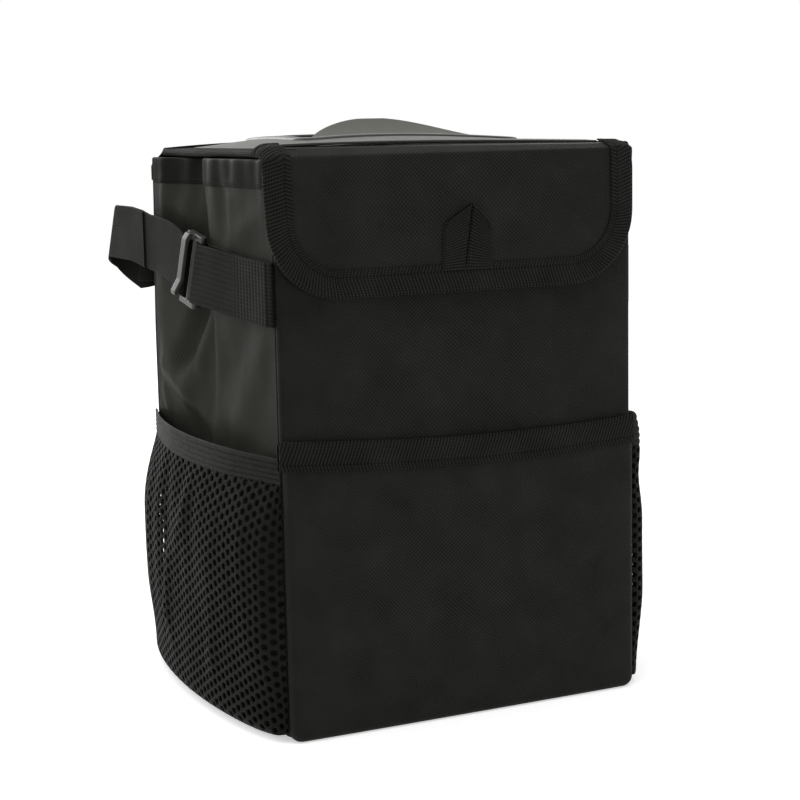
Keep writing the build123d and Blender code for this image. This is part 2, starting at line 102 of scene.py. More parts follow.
def number(tree, operation, *values):
    """Math node on sockets or plain numbers."""
    node = tree.nodes.new("ShaderNodeMath")
    node.operation = operation
    for socket, value in zip(node.inputs, values):
        if isinstance(value, (int, float)):
            socket.default_value = value
        else:
            tree.links.new(value, socket)
    return node.outputs[0]


def seen_directly(tree):
    """1 for rays that come from the lens, also by way of a gloss or a clear surface."""
    path = tree.nodes.new("ShaderNodeLightPath")
    total = path.outputs["Is Camera Ray"]
    for ray in ("Is Glossy Ray", "Is Transmission Ray"):
        total = number(tree, "MAXIMUM", total, path.outputs[ray])
    return total


def new_finish(name, settings):
    """New material with its node tree and its shader, whose inputs take the settings."""
    made = bpy.data.materials.new(name)
    made.use_nodes = True
    shader = made.node_tree.nodes["Principled BSDF"]
    for setting, value in settings.items():
        shader.inputs[setting].default_value = value
    return made, made.node_tree, shader


bpy.ops.mesh.primitive_plane_add(size=floor_side)
floor = bpy.context.object
floor.name = "floor"
floor_finish, floor_tree, floor_shader = new_finish("pale_floor", {
    "Base Color": floor_colour,
    "Roughness": floor_roughness,
    "Specular IOR Level": 0.0,
    "Emission Color": white,
})
lift = number(floor_tree, "MULTIPLY", seen_directly(floor_tree), floor_lift)
floor_tree.links.new(lift, floor_shader.inputs["Emission Strength"])
floor.data.materials.append(floor_finish)

room = bpy.data.worlds.new("white_room")
bpy.context.scene.world = room
room.use_nodes = True
sky = room.node_tree.nodes["Background"]
sky.inputs["Color"].default_value = white
strength = number(room.node_tree, "MULTIPLY_ADD", seen_directly(room.node_tree), 1 - room_light, room_light)
room.node_tree.links.new(strength, sky.inputs["Strength"])
for name, (place, side, power) in lamps.items():
    bpy.ops.object.light_add(type="AREA", location=place)
    lamp = bpy.context.object
    lamp.name = name
    lamp.data.size = side
    lamp.data.energy = power
    lamp.rotation_euler = (view_target - Vector(place)).to_track_quat("-Z", "Y").to_euler()

# Board panels: the front, back and base are stiff boards in sleeves of black plain-woven cloth.
# The cloth is drawn tight round the boards, so the faces crown a little and the edges are round.
# The back panel is drawn in by a small share between two heights near its top.
weave_pitch = 0.0007
weave_depth = 0.00022
board_dark = (0.0012, 0.0012, 0.0010)
board_light = (0.0212, 0.0212, 0.0197)
board_corner = 0.006
board_crown = 0.0007
back_draw = 0.020
back_draw_heights = (0.17, 0.27)
merge_gap = 0.000002
sharp_angle = math.radians(50)
sheen_tint = (0.92, 0.95, 0.82, 1)
sheen_roughness = 0.4
lint_scale = 1400


def pick(piece):
    """Leaves only this piece selected and active."""
    bpy.ops.object.select_all(action="DESELECT")
    piece.select_set(True)
    bpy.context.view_layer.objects.active = piece


def modify(piece, kind, **settings):
    """Adds one modifier, sets it and applies it."""
    pick(piece)
    modifier = piece.modifiers.new(kind.lower(), kind)
    for setting, value in settings.items():
        setattr(modifier, setting, value)
    bpy.ops.object.modifier_apply(modifier=modifier.name)


def close_up(piece, outwards=True):
    """Merges doubled points and turns the faces of a closed piece outwards."""
    pick(piece)
    bpy.ops.object.mode_set(mode="EDIT")
    bpy.ops.mesh.select_all(action="SELECT")
    bpy.ops.mesh.remove_doubles(threshold=merge_gap)
    bpy.ops.mesh.dissolve_degenerate(threshold=merge_gap)
    if outwards:
        bpy.ops.mesh.normals_make_consistent(inside=False)
    bpy.ops.object.mode_set(mode="OBJECT")
    bpy.ops.object.shade_smooth_by_angle(angle=sharp_angle)


def clamp(value, low=0, high=1):
    """Value kept between two limits."""
    return min(max(value, low), high)


def cloth(name, columns, rows, place, size, thickness=0.0):
    """Sheet from a grid: place(u, v) gives each point, and size is the width and length of the cloth."""
    bpy.ops.object.select_all(action="DESELECT")
    bpy.ops.mesh.primitive_grid_add(x_subdivisions=columns, y_subdivisions=rows, size=1)
    piece = bpy.context.object
    piece.name = piece.data.name = name
    for vertex in piece.data.vertices:
        vertex.co = place(clamp(vertex.co.x + 0.5), clamp(vertex.co.y + 0.5))
    for corner in piece.data.uv_layers.active.data:
        corner.uv = [scale(at) if callable(scale) else scale * at for scale, at in zip(size, corner.uv)]
    close_up(piece, outwards=False)
    if thickness:
        modify(piece, "SOLIDIFY", thickness=thickness, offset=-1, use_even_offset=False)
        close_up(piece)
    return piece


def eased(share):
    """Spreads points so that they lie closer together near both ends."""
    return 0.5 - 0.5 * math.cos(math.pi * share)


def smooth(low, high, value):
    """Smooth step from 0 at low to 1 at high."""
    share = clamp((value - low) / (high - low))
    return share * share * (3 - 2 * share)


def panel_spot(u, v, width, height, corner):
    """Place on a panel with round lower corners, and its distances from the lower outline and the top."""
    across = (eased(u) - 0.5) * width
    rise = eased(v) * height
    edge = min(width / 2 - abs(across), rise)
    centre = width / 2 - corner
    if abs(across) > centre and rise < corner:
        out, down = abs(across) - centre, corner - rise
        pull = max(out, down) / max(math.hypot(out, down), 1e-9)
        across = math.copysign(centre + out * pull, across)
        rise = corner - down * pull
        edge = corner - max(out, down)
    return across, rise, edge, height - rise


def round_edge(distance, radius):
    """Share of the full thickness at a distance from a round edge."""
    return math.sqrt(max(0.0, 1 - (1 - min(distance / radius, 1)) ** 2))


def padded_board(name, width, height, thick, corner, crown, seat):
    """Closed crowned board; seat turns places across, up and outwards into the frame."""
    halves = []
    for side in (1, -1):
        def face(u, v):
            across, rise, edge, top = panel_spot(u if side > 0 else 1 - u, v, width, height, corner)
            swell = crown * math.sin(math.pi * u) * math.sin(math.pi * v)
            return seat(across, rise, side * (thick / 2 * round_edge(min(edge, top), thick / 2) + swell))
        halves.append(cloth(name, 56, 72, face, (width, height)))
    pick(halves[1])
    halves[0].select_set(True)
    bpy.context.view_layer.objects.active = halves[0]
    bpy.ops.object.join()
    close_up(halves[0])
    return halves[0]


def drawn_back(z):
    """Share by which the back of the bin is drawn in at a height."""
    return back_draw * smooth(*back_draw_heights, z)


def scaled(tree, value, gain, base):
    """Value times a gain, plus a base."""
    return number(tree, "MULTIPLY_ADD", value, gain, base)


def wave(tree, value, length):
    """Sine wave of a given length along a value."""
    return number(tree, "SINE", number(tree, "MULTIPLY", value, 2 * math.pi / length))


def plain_weave(pitch):
    """Threads that pass over and under each other in staggered dots, as heights from 0 to 1."""
    def heights(tree, u, v):
        over = number(tree, "MULTIPLY", wave(tree, u, 2 * pitch), wave(tree, v, 2 * pitch))
        gaps = number(tree, "ABSOLUTE", over)
        return scaled(tree, over, 0.42, scaled(tree, gaps, 0.3, 0.35))
    return heights


def mottle(tree, places, scale, detail):
    """Uneven patches on the piece's own places, from 0 to 1."""
    patches = tree.nodes.new("ShaderNodeTexNoise")
    patches.inputs["Scale"].default_value = scale
    patches.inputs["Detail"].default_value = detail
    tree.links.new(places.outputs["Object"], patches.inputs["Vector"])
    return patches.outputs[0]


def emboss(tree, shader, heights, depth):
    """Gives a finish bumps of a depth."""
    bump = tree.nodes.new("ShaderNodeBump")
    bump.inputs["Distance"].default_value = depth
    tree.links.new(heights, bump.inputs["Height"])
    tree.links.new(bump.outputs["Normal"], shader.inputs["Normal"])


def fabric(name, dark, light, heights, depth, roughness, specular, sheen, cloud_size=0.02):
    """Cloth finish: a thread pattern on the cloth's own places, in two tones, with uneven dye and lint."""
    made, tree, shader = new_finish(name, {
        "Specular IOR Level": specular,
        "Sheen Weight": sheen,
        "Sheen Roughness": sheen_roughness,
        "Sheen Tint": sheen_tint,
    })
    places = tree.nodes.new("ShaderNodeTexCoord")
    split = tree.nodes.new("ShaderNodeSeparateXYZ")
    tree.links.new(places.outputs["UV"], split.inputs[0])
    threads = heights(tree, split.outputs["X"], split.outputs["Y"])
    clouds = mottle(tree, places, 1 / cloud_size, 4)
    lint = mottle(tree, places, lint_scale, 2)
    tones = tree.nodes.new("ShaderNodeMix")
    tones.data_type = "RGBA"
    tones.inputs["A"].default_value = (*dark, 1)
    tones.inputs["B"].default_value = (*light, 1)
    tree.links.new(scaled(tree, threads, 0.85, scaled(tree, clouds, 0.5, -0.25)), tones.inputs["Factor"])
    tree.links.new(tones.outputs["Result"], shader.inputs["Base Color"])
    tree.links.new(scaled(tree, clouds, -0.16, roughness + 0.08), shader.inputs["Roughness"])
    emboss(tree, shader, scaled(tree, lint, 0.25, threads), depth)
    return made


def dress(piece, finish, slot, body, *nodes):
    """Gives a piece its finish, its body and the nodes it stands for."""
    piece.data.materials.clear()
    piece.data.materials.append(finish)
    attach(piece, body)
    if nodes:
        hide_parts(*nodes)


board_cloth = fabric(
    "black_board_cloth", board_dark, board_light, plain_weave(weave_pitch),
    depth=weave_depth, roughness=0.70, specular=0.085, sheen=0.09,
)
front_low, front_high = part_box("front_panel")
back_low, back_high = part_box("back_panel")
base_low, base_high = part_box("base_panel")
board_width = front_high.x - front_low.x
board_height = front_high.z - front_low.z
board_thick = front_high.y - front_low.y
front_mid_y = (front_low.y + front_high.y) / 2
back_mid_y = (back_low.y + back_high.y) / 2
base_mid_z = (base_low.z + base_high.z) / 2
front_board = padded_board(
    "front_board", board_width, board_height, board_thick, board_corner, board_crown,
    lambda across, rise, out: (across, front_mid_y - out, rise),
)
back_board = padded_board(
    "back_board", board_width, board_height, board_thick, board_corner, board_crown,
    lambda across, rise, out: (-across * (1 - drawn_back(rise)), back_mid_y + out, rise),
)
base_board = padded_board(
    "base_board", base_high.x - base_low.x, base_high.y - base_low.y, base_high.z - base_low.z,
    board_corner, 0.0, lambda across, rise, out: (across, base_low.y + rise, base_mid_z + out),
)
for board, node in ((front_board, "front_panel"), (back_board, "back_panel"), (base_board, "base_panel")):
    dress(board, board_cloth, "board_cloth", "bin", node)

# Front pocket: one stiff layer of the same cloth, turned in and sewn along its sides and bottom.
# Its top edge stands a little away from the front panel, is open and sags, most to the right of its middle.
pocket_low, pocket_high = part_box("front_pocket")
pocket_width = pocket_high.x - pocket_low.x
pocket_height = pocket_high.z - pocket_low.z
pocket_stand = pocket_high.y - pocket_low.y
pocket_edge = 0.003
pocket_layer = 0.0012
pocket_sag = 0.0055
pocket_sag_turn = 0.8 * math.pi
pocket_hem = 0.014


def sagged(across, z):
    """Height after the pocket's top edge has sunk between its seams."""
    share = clamp(across / pocket_width + 0.5)
    return z - pocket_sag * math.sin(pocket_sag_turn * share) * clamp(z / (pocket_height - pocket_hem))


def pocket_face(u, v):
    across, rise, edge, top = panel_spot(u, v, pocket_width, pocket_height, board_corner)
    swell = board_crown * math.sin(math.pi * u) * math.sin(math.pi * 0.5 * (1 + v))
    return across, pocket_high.y - pocket_stand * round_edge(edge, pocket_edge) - swell, sagged(across, rise)


front_pocket = cloth("front_pocket_cloth", 64, 60, pocket_face, (pocket_width, pocket_height), pocket_layer)
dress(front_pocket, board_cloth, "board_cloth", "bin", "front_pocket")

# Pocket binding: black herringbone tape folded over the pocket's top edge and sewn through.
# Its lower edge lifts a hair's breadth off the cloth between the stitches.
# Its left end is caught in the seam.
tape_low, tape_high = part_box("front_pocket_binding")
tape_layer = 0.0007
tape_left, tape_right = tape_low.x - 0.0022, tape_high.x - 0.0012
tape_caught = 0.0016
tape_caught_share = 0.05
tape_pucker = 0.00012
tape_stitch = 0.0031
tape_rib = 0.00175
tape_slant = 0.38
tape_thread = 0.62 * tape_rib
tape_band = 0.0032
tape_depth = 0.00060
tape_dark = (0.0008, 0.0008, 0.0007)
tape_light = (0.0238, 0.0238, 0.0218)


def herringbone(tree, u, v):
    """Slanted ribs with the other slant in a band along the inner edge, and a groove between the bands."""
    aside = number(tree, "ABSOLUTE", number(tree, "SUBTRACT", v, tape_band))
    ribs = wave(tree, scaled(tree, aside, -tape_slant, u), tape_rib)
    both = scaled(tree, wave(tree, v, tape_thread), 0.14, scaled(tree, ribs, 0.36, 0.5))
    groove = number(tree, "MINIMUM", scaled(tree, aside, 900, 0.45), 1)
    return number(tree, "MULTIPLY", both, groove)


def lengths(points):
    """Length along a line of points up to each of them."""
    steps = np.linalg.norm(np.diff(np.asarray(points, float), axis=0), axis=1)
    return np.concatenate([[0], np.cumsum(steps)])


def along_points(points, share):
    """Point at a share of the way along a line of points, by length."""
    line = np.asarray(points, float)
    reach = lengths(line)
    return [float(np.interp(share * reach[-1], reach, line[:, k])) for k in range(line.shape[1])]


def arc(centre, radius, start, end, steps=10):
    """Points of an arc in a plane, from one angle to another in degrees."""
    angles = [math.radians(start + (end - start) * k / steps) for k in range(steps + 1)]
    return [(centre[0] + radius * math.cos(a), centre[1] + radius * math.sin(a)) for a in angles]


binding_tape = fabric(
    "black_binding_tape", tape_dark, tape_light, herringbone,
    depth=tape_depth, roughness=0.66, specular=0.045, sheen=0.03,
)
tape_mid_y = (tape_low.y + tape_high.y) / 2
tape_half = (tape_high.y - tape_low.y) / 2
tape_fold = [(tape_low.y, tape_low.z)]
tape_fold += arc((tape_mid_y, tape_high.z - tape_half), tape_half, 180, 0)
tape_fold += [(tape_high.y, tape_low.z)]


def pocket_tape_place(u, v):
    y, z = along_points(tape_fold, v)
    ripple = tape_pucker * math.sin(2 * math.pi * u * board_width / tape_stitch) if v in (0.0, 1.0) else 0
    bow = board_crown * math.sin(math.pi * u) - tape_caught * (1 - smooth(0, tape_caught_share, u))
    x = tape_left + u * (tape_right - tape_left)
    return x, y - bow - abs(ripple), sagged(x, z) + ripple


tape_round = 2 * (tape_high.z - tape_low.z) + tape_half
pocket_binding = cloth("front_pocket_tape", 240, 26, pocket_tape_place, (board_width, tape_round), tape_layer)
dress(pocket_binding, binding_tape, "binding_tape", "bin", "front_pocket_binding")

# Side walls: soft, smooth black nylon between the boards, with a sewn hem round the top edge.
# The middle is creased inwards for folding, and the slack cloth below the strap hangs in folds.
# A fold has a start, an end, a width and a height; a sway has a height, a width and a length.
sides = {"left": -1, "right": 1}
side_half = 0.0955
side_reach = 0.0886
side_top = 0.2757
side_layer = 0.0008
side_rows = 96
hem_base = 0.2620
hem_foot = hem_base + 0.0005
hem_crest = side_top - 0.0013
hem_inside = 0.009
hem_stand = 0.0007
hem_back = 0.0018
hem_round = (hem_stand + hem_back) / 2
hem_dull = 0.85
# Below net_line the side cloth is painted darker, as painted shade where the net keeps the light off it.
net_line = 0.118
net_painted_shade = 0.6
crease_depth = 0.0135
crease_power = 2.2
crease_start = -0.008
crease_shift = 0.010
crease_width = 0.017
crease_end = 0.090
loose_from = 0.225
seam_hold = (0.016, 0.03)
sways = ((0.0013, 0.045, 0.06), (0.0004, 0.014, 0.02))
hem_ripple = 0.0017
hem_ripple_width = 0.011
corner_lift = 0.005
corner_lift_reach = (0.012, 0.04)
nylon_pitch = 0.0011
side_dark = (0.0080, 0.0083, 0.0068)
side_light = (0.0510, 0.0528, 0.0430)
side_seeds = {-1: 1.7, 1: 5.2}
fold_gain = 1.25
left_folds = (
    ((0.022, 0.207), (0.052, 0.168), 0.0075, -0.0045),
    ((0.008, 0.200), (0.030, 0.165), 0.0070, 0.0016),
    ((0.084, 0.166), (0.036, 0.149), 0.0060, 0.0024),
    ((0.080, 0.178), (-0.002, 0.134), 0.0080, 0.0022),
    ((0.082, 0.152), (0.070, 0.138), 0.0035, 0.0014),
    ((-0.078, 0.190), (-0.030, 0.140), 0.0120, 0.0020),
    ((-0.060, 0.205), (-0.015, 0.165), 0.0110, -0.0018),
    ((-0.070, 0.250), (-0.040, 0.236), 0.0070, 0.0010),
    ((0.075, 0.258), (0.035, 0.240), 0.0080, 0.0016),
    ((-0.036, 0.262), (-0.036, 0.232), 0.0060, 0.0012),
    ((-0.022, 0.262), (-0.026, 0.235), 0.0080, -0.0012),
)
right_folds = (
    ((-0.025, 0.200), (-0.058, 0.160), 0.0080, -0.0040),
    ((-0.080, 0.172), (-0.030, 0.146), 0.0070, 0.0022),
    ((0.070, 0.195), (0.020, 0.150), 0.0110, 0.0022),
    ((0.055, 0.205), (0.005, 0.172), 0.0100, -0.0020),
    ((0.078, 0.168), (0.060, 0.138), 0.0060, 0.0016),
)


def fold_line(y, z, start, end, width, height):
    """Height of one fold: a ridge or a trough along a line, fading out past both its ends."""
    run, climb = end[0] - start[0], end[1] - start[1]
    length = math.hypot(run, climb)
    reached = ((y - start[0]) * run + (z - start[1]) * climb) / length ** 2
    aside = ((y - start[0]) * climb - (z - start[1]) * run) / length
    fade = smooth(-0.25, 0.2, reached) * (1 - smooth(0.8, 1.25, reached))
    return height * fade * math.exp(-((aside / width) ** 2))


def wall_inset(side, y, z):
    """How far a wall has sunk in from its straight place; side is -1 for the left one and 1 for the right."""
    seed = side_seeds[side]
    held = smooth(0, seam_hold[0], side_reach - abs(y)) * smooth(0, seam_hold[1], z)
    front = crease_start + crease_shift * smooth(loose_from, 0.275, z)
    deepest = front + crease_width
    crease = crease_depth * min(z / side_top, 1) ** crease_power
    crease *= smooth(front, deepest, y) * (1 - smooth(deepest, crease_end, y))
    slack = fold_gain * sum(fold_line(y, z, *fold) for fold in (left_folds if side < 0 else right_folds))
    sway = sum(height * noise.noise((y / wide, z / tall, seed)) for height, wide, tall in sways)
    ripple = hem_ripple * noise.noise((y / hem_ripple_width, 0.3 + z / 0.2, seed))
    ripple *= smooth(loose_from, hem_base, z)
    drawn = side_half * drawn_back(z) * smooth(-0.02, side_reach, y)
    return drawn + held * (crease - slack - sway - ripple)


hem_path = [(0.0, hem_base * k / side_rows) for k in range(side_rows + 1)]
hem_path += [(0.0005, hem_base + 0.0001), (hem_stand, hem_foot)]
hem_path += [(hem_stand, hem_foot + (hem_crest - hem_foot) * k / 6) for k in range(1, 7)]
hem_path += [(out - hem_back + hem_round, z) for out, z in arc((0, hem_crest), hem_round, 0, 180, 6)[1:]]
hem_path += [(-hem_back, hem_crest - hem_inside * k / 5) for k in range(1, 6)]
hem_steps = lengths(hem_path)
hem_rows = len(hem_path) - 1


def wall_cloth(name, side):
    """One side wall with its hem and its raised lower corners."""
    def place(u, v):
        y = side * (2 * u - 1) * side_reach
        out, z = hem_path[round(v * hem_rows)]
        lift = corner_lift * smooth(side_reach - corner_lift_reach[0], side_reach, abs(y))
        lift *= 1 - smooth(0, corner_lift_reach[1], z)
        return side * (side_half + out - wall_inset(side, y, z)), y, z + lift
    size = (2 * side_reach, lambda v: hem_steps[round(v * hem_rows)])
    return cloth(name, 84, hem_rows, place, size, side_layer)


def fine_weave(tree, u, v):
    """Faintly slanted close threads, heights 0 to 1; duller in the hem, painted shade behind the net."""
    twill = scaled(tree, wave(tree, number(tree, "ADD", u, v), 2 * nylon_pitch), 0.16, 0.5)
    woven = scaled(tree, wave(tree, number(tree, "SUBTRACT", v, u), nylon_pitch), 0.20, twill)
    hem = number(tree, "GREATER_THAN", v, hem_base)
    # Painted shade: below the net's line the threads are pulled down, so the cloth there is darker and
    # flatter.
    painted_shade_band = number(tree, "LESS_THAN", v, net_line)
    dull_and_painted_shade = scaled(tree, painted_shade_band, -net_painted_shade, scaled(tree, hem, -hem_dull, 1.0))
    return number(tree, "MULTIPLY", woven, dull_and_painted_shade)


side_cloth = fabric(
    "black_side_nylon", side_dark, side_light, fine_weave,
    depth=0.00016, roughness=0.42, specular=0.008, sheen=0.0, cloud_size=0.05,
)
for side_name, side in sides.items():
    wall = wall_cloth(side_name + "_side_cloth", side)
    dress(wall, side_cloth, "side_cloth", "bin", side_name + "_side_panel")

# Liner: a tub of thin waterproof film inside the cloth, open at the top and welded at its corners.
# It hangs a little slack, so the film has shallow wrinkles. A fifth of the sheet's rows lie on the floor.
film_dark = (0.010, 0.010, 0.011)
film_light = (0.018, 0.018, 0.019)
film_layer = 0.0003
film_pitch = (0.0025133, 0.0029920)
liner_low, liner_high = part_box("liner")
liner_gap = 0.0040
liner_inset = (0.0012, 0.001)
liner_floor = 0.2
liner_lift = 0.0004
liner_dish = 0.0005
liner_crumple = 0.0006


def liner_outline(share, z):
    """Point of the liner's outline at a height, a little inside the walls."""
    corner_x, end_y = liner_high.x - liner_inset[0], liner_high.y - liner_inset[1]
    points = []
    for side in sides.values():
        for k in range(13):
            y = -side * end_y * (1 - k / 6)
            sunk = 0 if k in (0, 12) else max(wall_inset(side, y, z), 0) + liner_gap
            points.append((side * (corner_x - sunk), y))
    points.append(points[0])
    return along_points(points, share)


def liner_place(u, v):
    floor_z = liner_low.z + liner_lift
    z = floor_z + (liner_high.z - floor_z) * max(0, (v - liner_floor) / (1 - liner_floor))
    x, y = liner_outline(u, z)
    spread = min(v / liner_floor, 1)
    crumple = liner_crumple * noise.noise((x / 0.02, y / 0.02, z / 0.03)) * smooth(0, 0.05, z - liner_low.z)
    return x * spread, y * spread, z + (liner_floor - min(v, liner_floor)) * liner_dish + crumple


def dots(across, along, gain, base):
    """Rows of dots with a pitch across and along, as heights from 0 to 1."""
    def heights(tree, u, v):
        return scaled(tree, number(tree, "MULTIPLY", wave(tree, u, across), wave(tree, v, along)), gain, base)
    return heights


liner_film = fabric(
    "dark_liner_film", film_dark, film_light, dots(*film_pitch, 0.25, 0.5),
    depth=0.00003, roughness=0.34, specular=0.4, sheen=0.0,
)
liner_round = 2 * (liner_high.x - liner_low.x + liner_high.y - liner_low.y)
liner = cloth("liner_film", 120, 40, liner_place, (liner_round, 0.33), film_layer)
dress(liner, liner_film, "liner_film", "bin", "liner")

# Net pockets: thick black spacer net with rows of eyes, sewn along both side seams and the bottom.
# Elastic at the top holds it close; below that the net bags out, then turns in under its floor.
# A pleat has a height, a width, a length and a place in the noise.
net_half = 0.0922
net_bulge = 0.0140
net_seam = 0.0958
net_top = 0.1255
net_low = 0.0006
net_turn = 0.0090
net_full = 0.0190
net_fullness = 2.8
net_floor = 1.9
net_swell = 0.35
net_settle = 0.64
net_loose = 0.8
net_loose_line = net_top + 0.0015
net_loose_fade = (0.014, 0.022)
net_across = 0.0045
net_rise = 0.0052
net_eye = (0.65, 0.58)
net_layer = 0.0016
net_pitch = 0.0006
net_dark = (0.0030, 0.0030, 0.0027)
net_light = (0.0110, 0.0111, 0.0100)
net_pleats = ((0.0016, 0.013, 0.09, 4.2), (0.0012, 0.03, 0.04, 1.1))
net_folds = (
    ((0.019, 0.075), (0.030, 0.035), 0.0050, 0.0022),
    ((0.030, 0.040), (0.012, 0.006), 0.0050, 0.0022),
    ((-0.037, 0.036), (-0.031, 0.004), 0.0050, 0.0026),
    ((-0.014, 0.118), (0.007, 0.080), 0.0060, 0.0018),
)
net_radius = (net_half ** 2 + net_bulge ** 2) / (2 * net_bulge)
net_angle = math.asin(net_half / net_radius)
net_arc = 2 * net_angle * net_radius


def net_bag(share):
    """Distances out of the net at its band, its fullest and its floor, by its share of the way to a seam."""
    tight = math.sqrt(net_radius ** 2 - (net_half * share) ** 2) - net_radius * math.cos(net_angle)
    powers = (net_fullness, net_floor)
    wide, base = (net_full * max(1 - abs(share) ** power, 0) ** (1 / power) for power in powers)
    return tight, wide, base


net_shares = np.linspace(-1, 1, 801)
net_steps = lengths([(net_bag(share)[1], net_half * share) for share in net_shares])
net_round = float(net_steps[-1])


def net_length(a):
    """Length of the net from its top to the seam under it, at a place along it.

    Its share of the way to a seam, turn, wall height and bulge come with it.
    """
    share = float(np.interp(a, net_steps, net_shares))
    bulge = net_bag(share)[2]
    turn = min(net_turn, bulge)
    wall = net_top - net_low - turn
    return wall + math.pi / 2 * turn + bulge - turn, share, turn, wall, bulge


def net_spot(a, b):
    """Distance out from the seam, place along the side and height of a point of the net."""
    length, share, turn, wall, bulge = net_length(a)
    tight, full, base = net_bag(share)
    b = min(b, length)
    lift = corner_lift * abs(share) ** 10
    if b < wall:
        sunk = b / wall
        wide = tight + math.sin(math.pi / 2 * min(sunk / net_swell, 1)) * (full - tight)
        slack = sum(fold_line(-net_half * share, net_top - b, *line) for line in net_folds)
        for height, across, along, seed in net_pleats:
            slack += height * noise.noise((a / across, b / along, seed))
        slack *= math.sin(math.pi * sunk ** 0.75) * (1 - share ** 8)
        out, z = wide + (base - wide) * smooth(net_settle, 1, sunk) + slack, net_top - b
    elif b < wall + math.pi / 2 * turn:
        bend = (b - wall) / turn
        out, z = bulge - turn + turn * math.cos(bend), net_low + turn - turn * math.sin(bend)
    else:
        out, z = bulge - turn - (b - wall - math.pi / 2 * turn), net_low
    return max(out, 0), net_half * share, max(z, net_low + lift)


def band_sag(side, y, z):
    """How far the right pocket's band and the net under it stand out, where the elastic has lost its pull."""
    if side < 0:
        return 0
    tight, wide, base = net_bag(clamp(y / net_half, -1))
    above = z - net_loose_line
    fade = net_loose_fade[0 if above < 0 else 1]
    return net_loose * (wide - tight) * math.exp(-((above / fade) ** 2))


def net_cloth(name, side):
    """Net of six-sided eyes with a closed floor; side is -1 for the left pocket and 1 for the right one."""
    corners = ((1, 0), (0.5, 1), (-0.5, 1), (-1, 0), (-0.5, -1), (0.5, -1))
    wide, tall = net_across / 1.5, net_rise / 2
    found, flat, faces = {}, [], []

    def ring(a, b, across, rise):
        """Numbers of the corners of a cell or an eye in the flat net, which takes those it lacks."""
        numbers = []
        for cx, cy in corners:
            spot = (clamp(a + cx * across, 0, net_round), max(b + cy * rise, 0))
            key = (round(spot[0], 6), round(spot[1], 6))
            if key not in found:
                found[key] = len(flat)
                flat.append(spot)
            numbers.append(found[key])
        return numbers

    deepest = net_length(net_round / 2)[0]
    for i in range(int(net_round / net_across) + 2):
        for j in range(int(deepest / net_rise) + 2):
            a, b = i * net_across, j * net_rise + (net_rise / 2 if i % 2 else 0)
            span = clamp(a + wide, 0, net_round) - clamp(a - wide, 0, net_round)
            length, share, turn, wall, bulge = net_length(clamp(a, 0, net_round))
            if b - tall > length or span < wide * 0.2:
                continue
            rim = ring(a, b, wide, tall)
            if b > wall + 0.5 * turn:
                faces.append(list(dict.fromkeys(rim)))
                continue
            eye = ring(a, b, wide * net_eye[0], tall * net_eye[1])
            for k in range(6):
                face = list(dict.fromkeys((rim[k], rim[(k + 1) % 6], eye[(k + 1) % 6], eye[k])))
                if len(face) > 2:
                    faces.append(face)
    spots = []
    for a, b in flat:
        out, y, z = net_spot(a, b)
        spots.append((side * (net_seam + out + band_sag(side, y, z)), -y, z))
    mesh = bpy.data.meshes.new(name)
    mesh.from_pydata(spots, [], faces)
    layer = mesh.uv_layers.new(name="cloth")
    for loop, corner in zip(mesh.loops, layer.data):
        corner.uv = flat[loop.vertex_index]
    piece = bpy.data.objects.new(name, mesh)
    bpy.context.scene.collection.objects.link(piece)
    close_up(piece)
    modify(piece, "SOLIDIFY", thickness=net_layer, offset=0, use_even_offset=False)
    modify(piece, "SUBSURF", levels=1, render_levels=1)
    close_up(piece)
    return piece


net_threads = fabric(
    "black_spacer_net", net_dark, net_light, plain_weave(net_pitch),
    depth=0.00012, roughness=0.6, specular=0.05, sheen=0.02, cloud_size=0.03,
)
net_drop = net_length(net_round / 2)[0]
for side_name, side in sides.items():
    net = net_cloth(side_name + "_net", side)
    dress(net, net_threads, "net", "bin", side_name + "_net_pocket")

# Net bands: flat black elastic with lengthwise ribs, sewn over the nets' top edges.
# Both ends are caught in the side seams; the right band's front end is caught a little higher.
band_low, band_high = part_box("left_net_band")
band_height = band_high.z - band_low.z
band_ribs = 5
band_rib = 0.00070
band_pinch = 0.0002
band_gap = 0.0004
band_foot = 0.0015
band_layer = 0.0011
band_hike = 0.0045
band_pitch = 0.0009
band_dark = (0.0040, 0.0040, 0.0036)
band_light = (0.0150, 0.0150, 0.0135)


def band_cloth(name, side):
    """One ribbed band; side is -1 for the left band and 1 for the right one."""
    def place(u, v):
        angle = side * (2 * u - 1) * net_angle
        rib = band_rib * abs(math.sin(math.pi * band_ribs * v)) ** 0.6
        pinch = band_pinch * noise.noise((u * 60, v * 3, side))
        reach = net_radius + band_gap + rib + pinch
        out = reach * math.cos(angle) - net_radius * math.cos(net_angle)
        foot = band_low.z + band_foot * smooth(0.3, 1, abs(2 * u - 1))
        y = reach * math.sin(angle)
        top = band_high.z + (band_hike * smooth(0.5, 0.95, -y / net_half) if side > 0 else 0)
        z = foot + v * (top - foot)
        return side * (net_seam + out + band_sag(side, y, z)), y, z
    return cloth(name, 120, 40, place, (net_arc, band_height), band_layer)


elastic = fabric(
    "black_elastic", band_dark, band_light, dots(band_pitch, band_pitch, 0.3, 0.55),
    depth=0.0001, roughness=0.62, specular=0.06, sheen=0.04,
)
for side_name, side in sides.items():
    band = band_cloth(side_name + "_net_band_elastic", side)
    dress(band, elastic, "elastic", "bin", side_name + "_net_band")

# Lid: a cloth-covered board with a wide mouth, slightly crowned, carried by a cloth hinge at the back.
# The mouth's edge is bound by a welded rim.
lid_front = -0.09235
lid_back = 0.0911
lid_half = 0.0940
lid_face = 0.2794
lid_thick = 0.0028
lid_rise = 0.0070
lid_arch = 0.95
lid_corner = 0.003
lid_taper = 0.0065
lid_skew = 0.45
lid_edge_drop = 0.0008
mouth_half = (0.0580, 0.0420)
mouth_corner = 0.008
lid_dark = (0.0070, 0.0071, 0.0064)
lid_light = (0.0180, 0.0182, 0.0165)


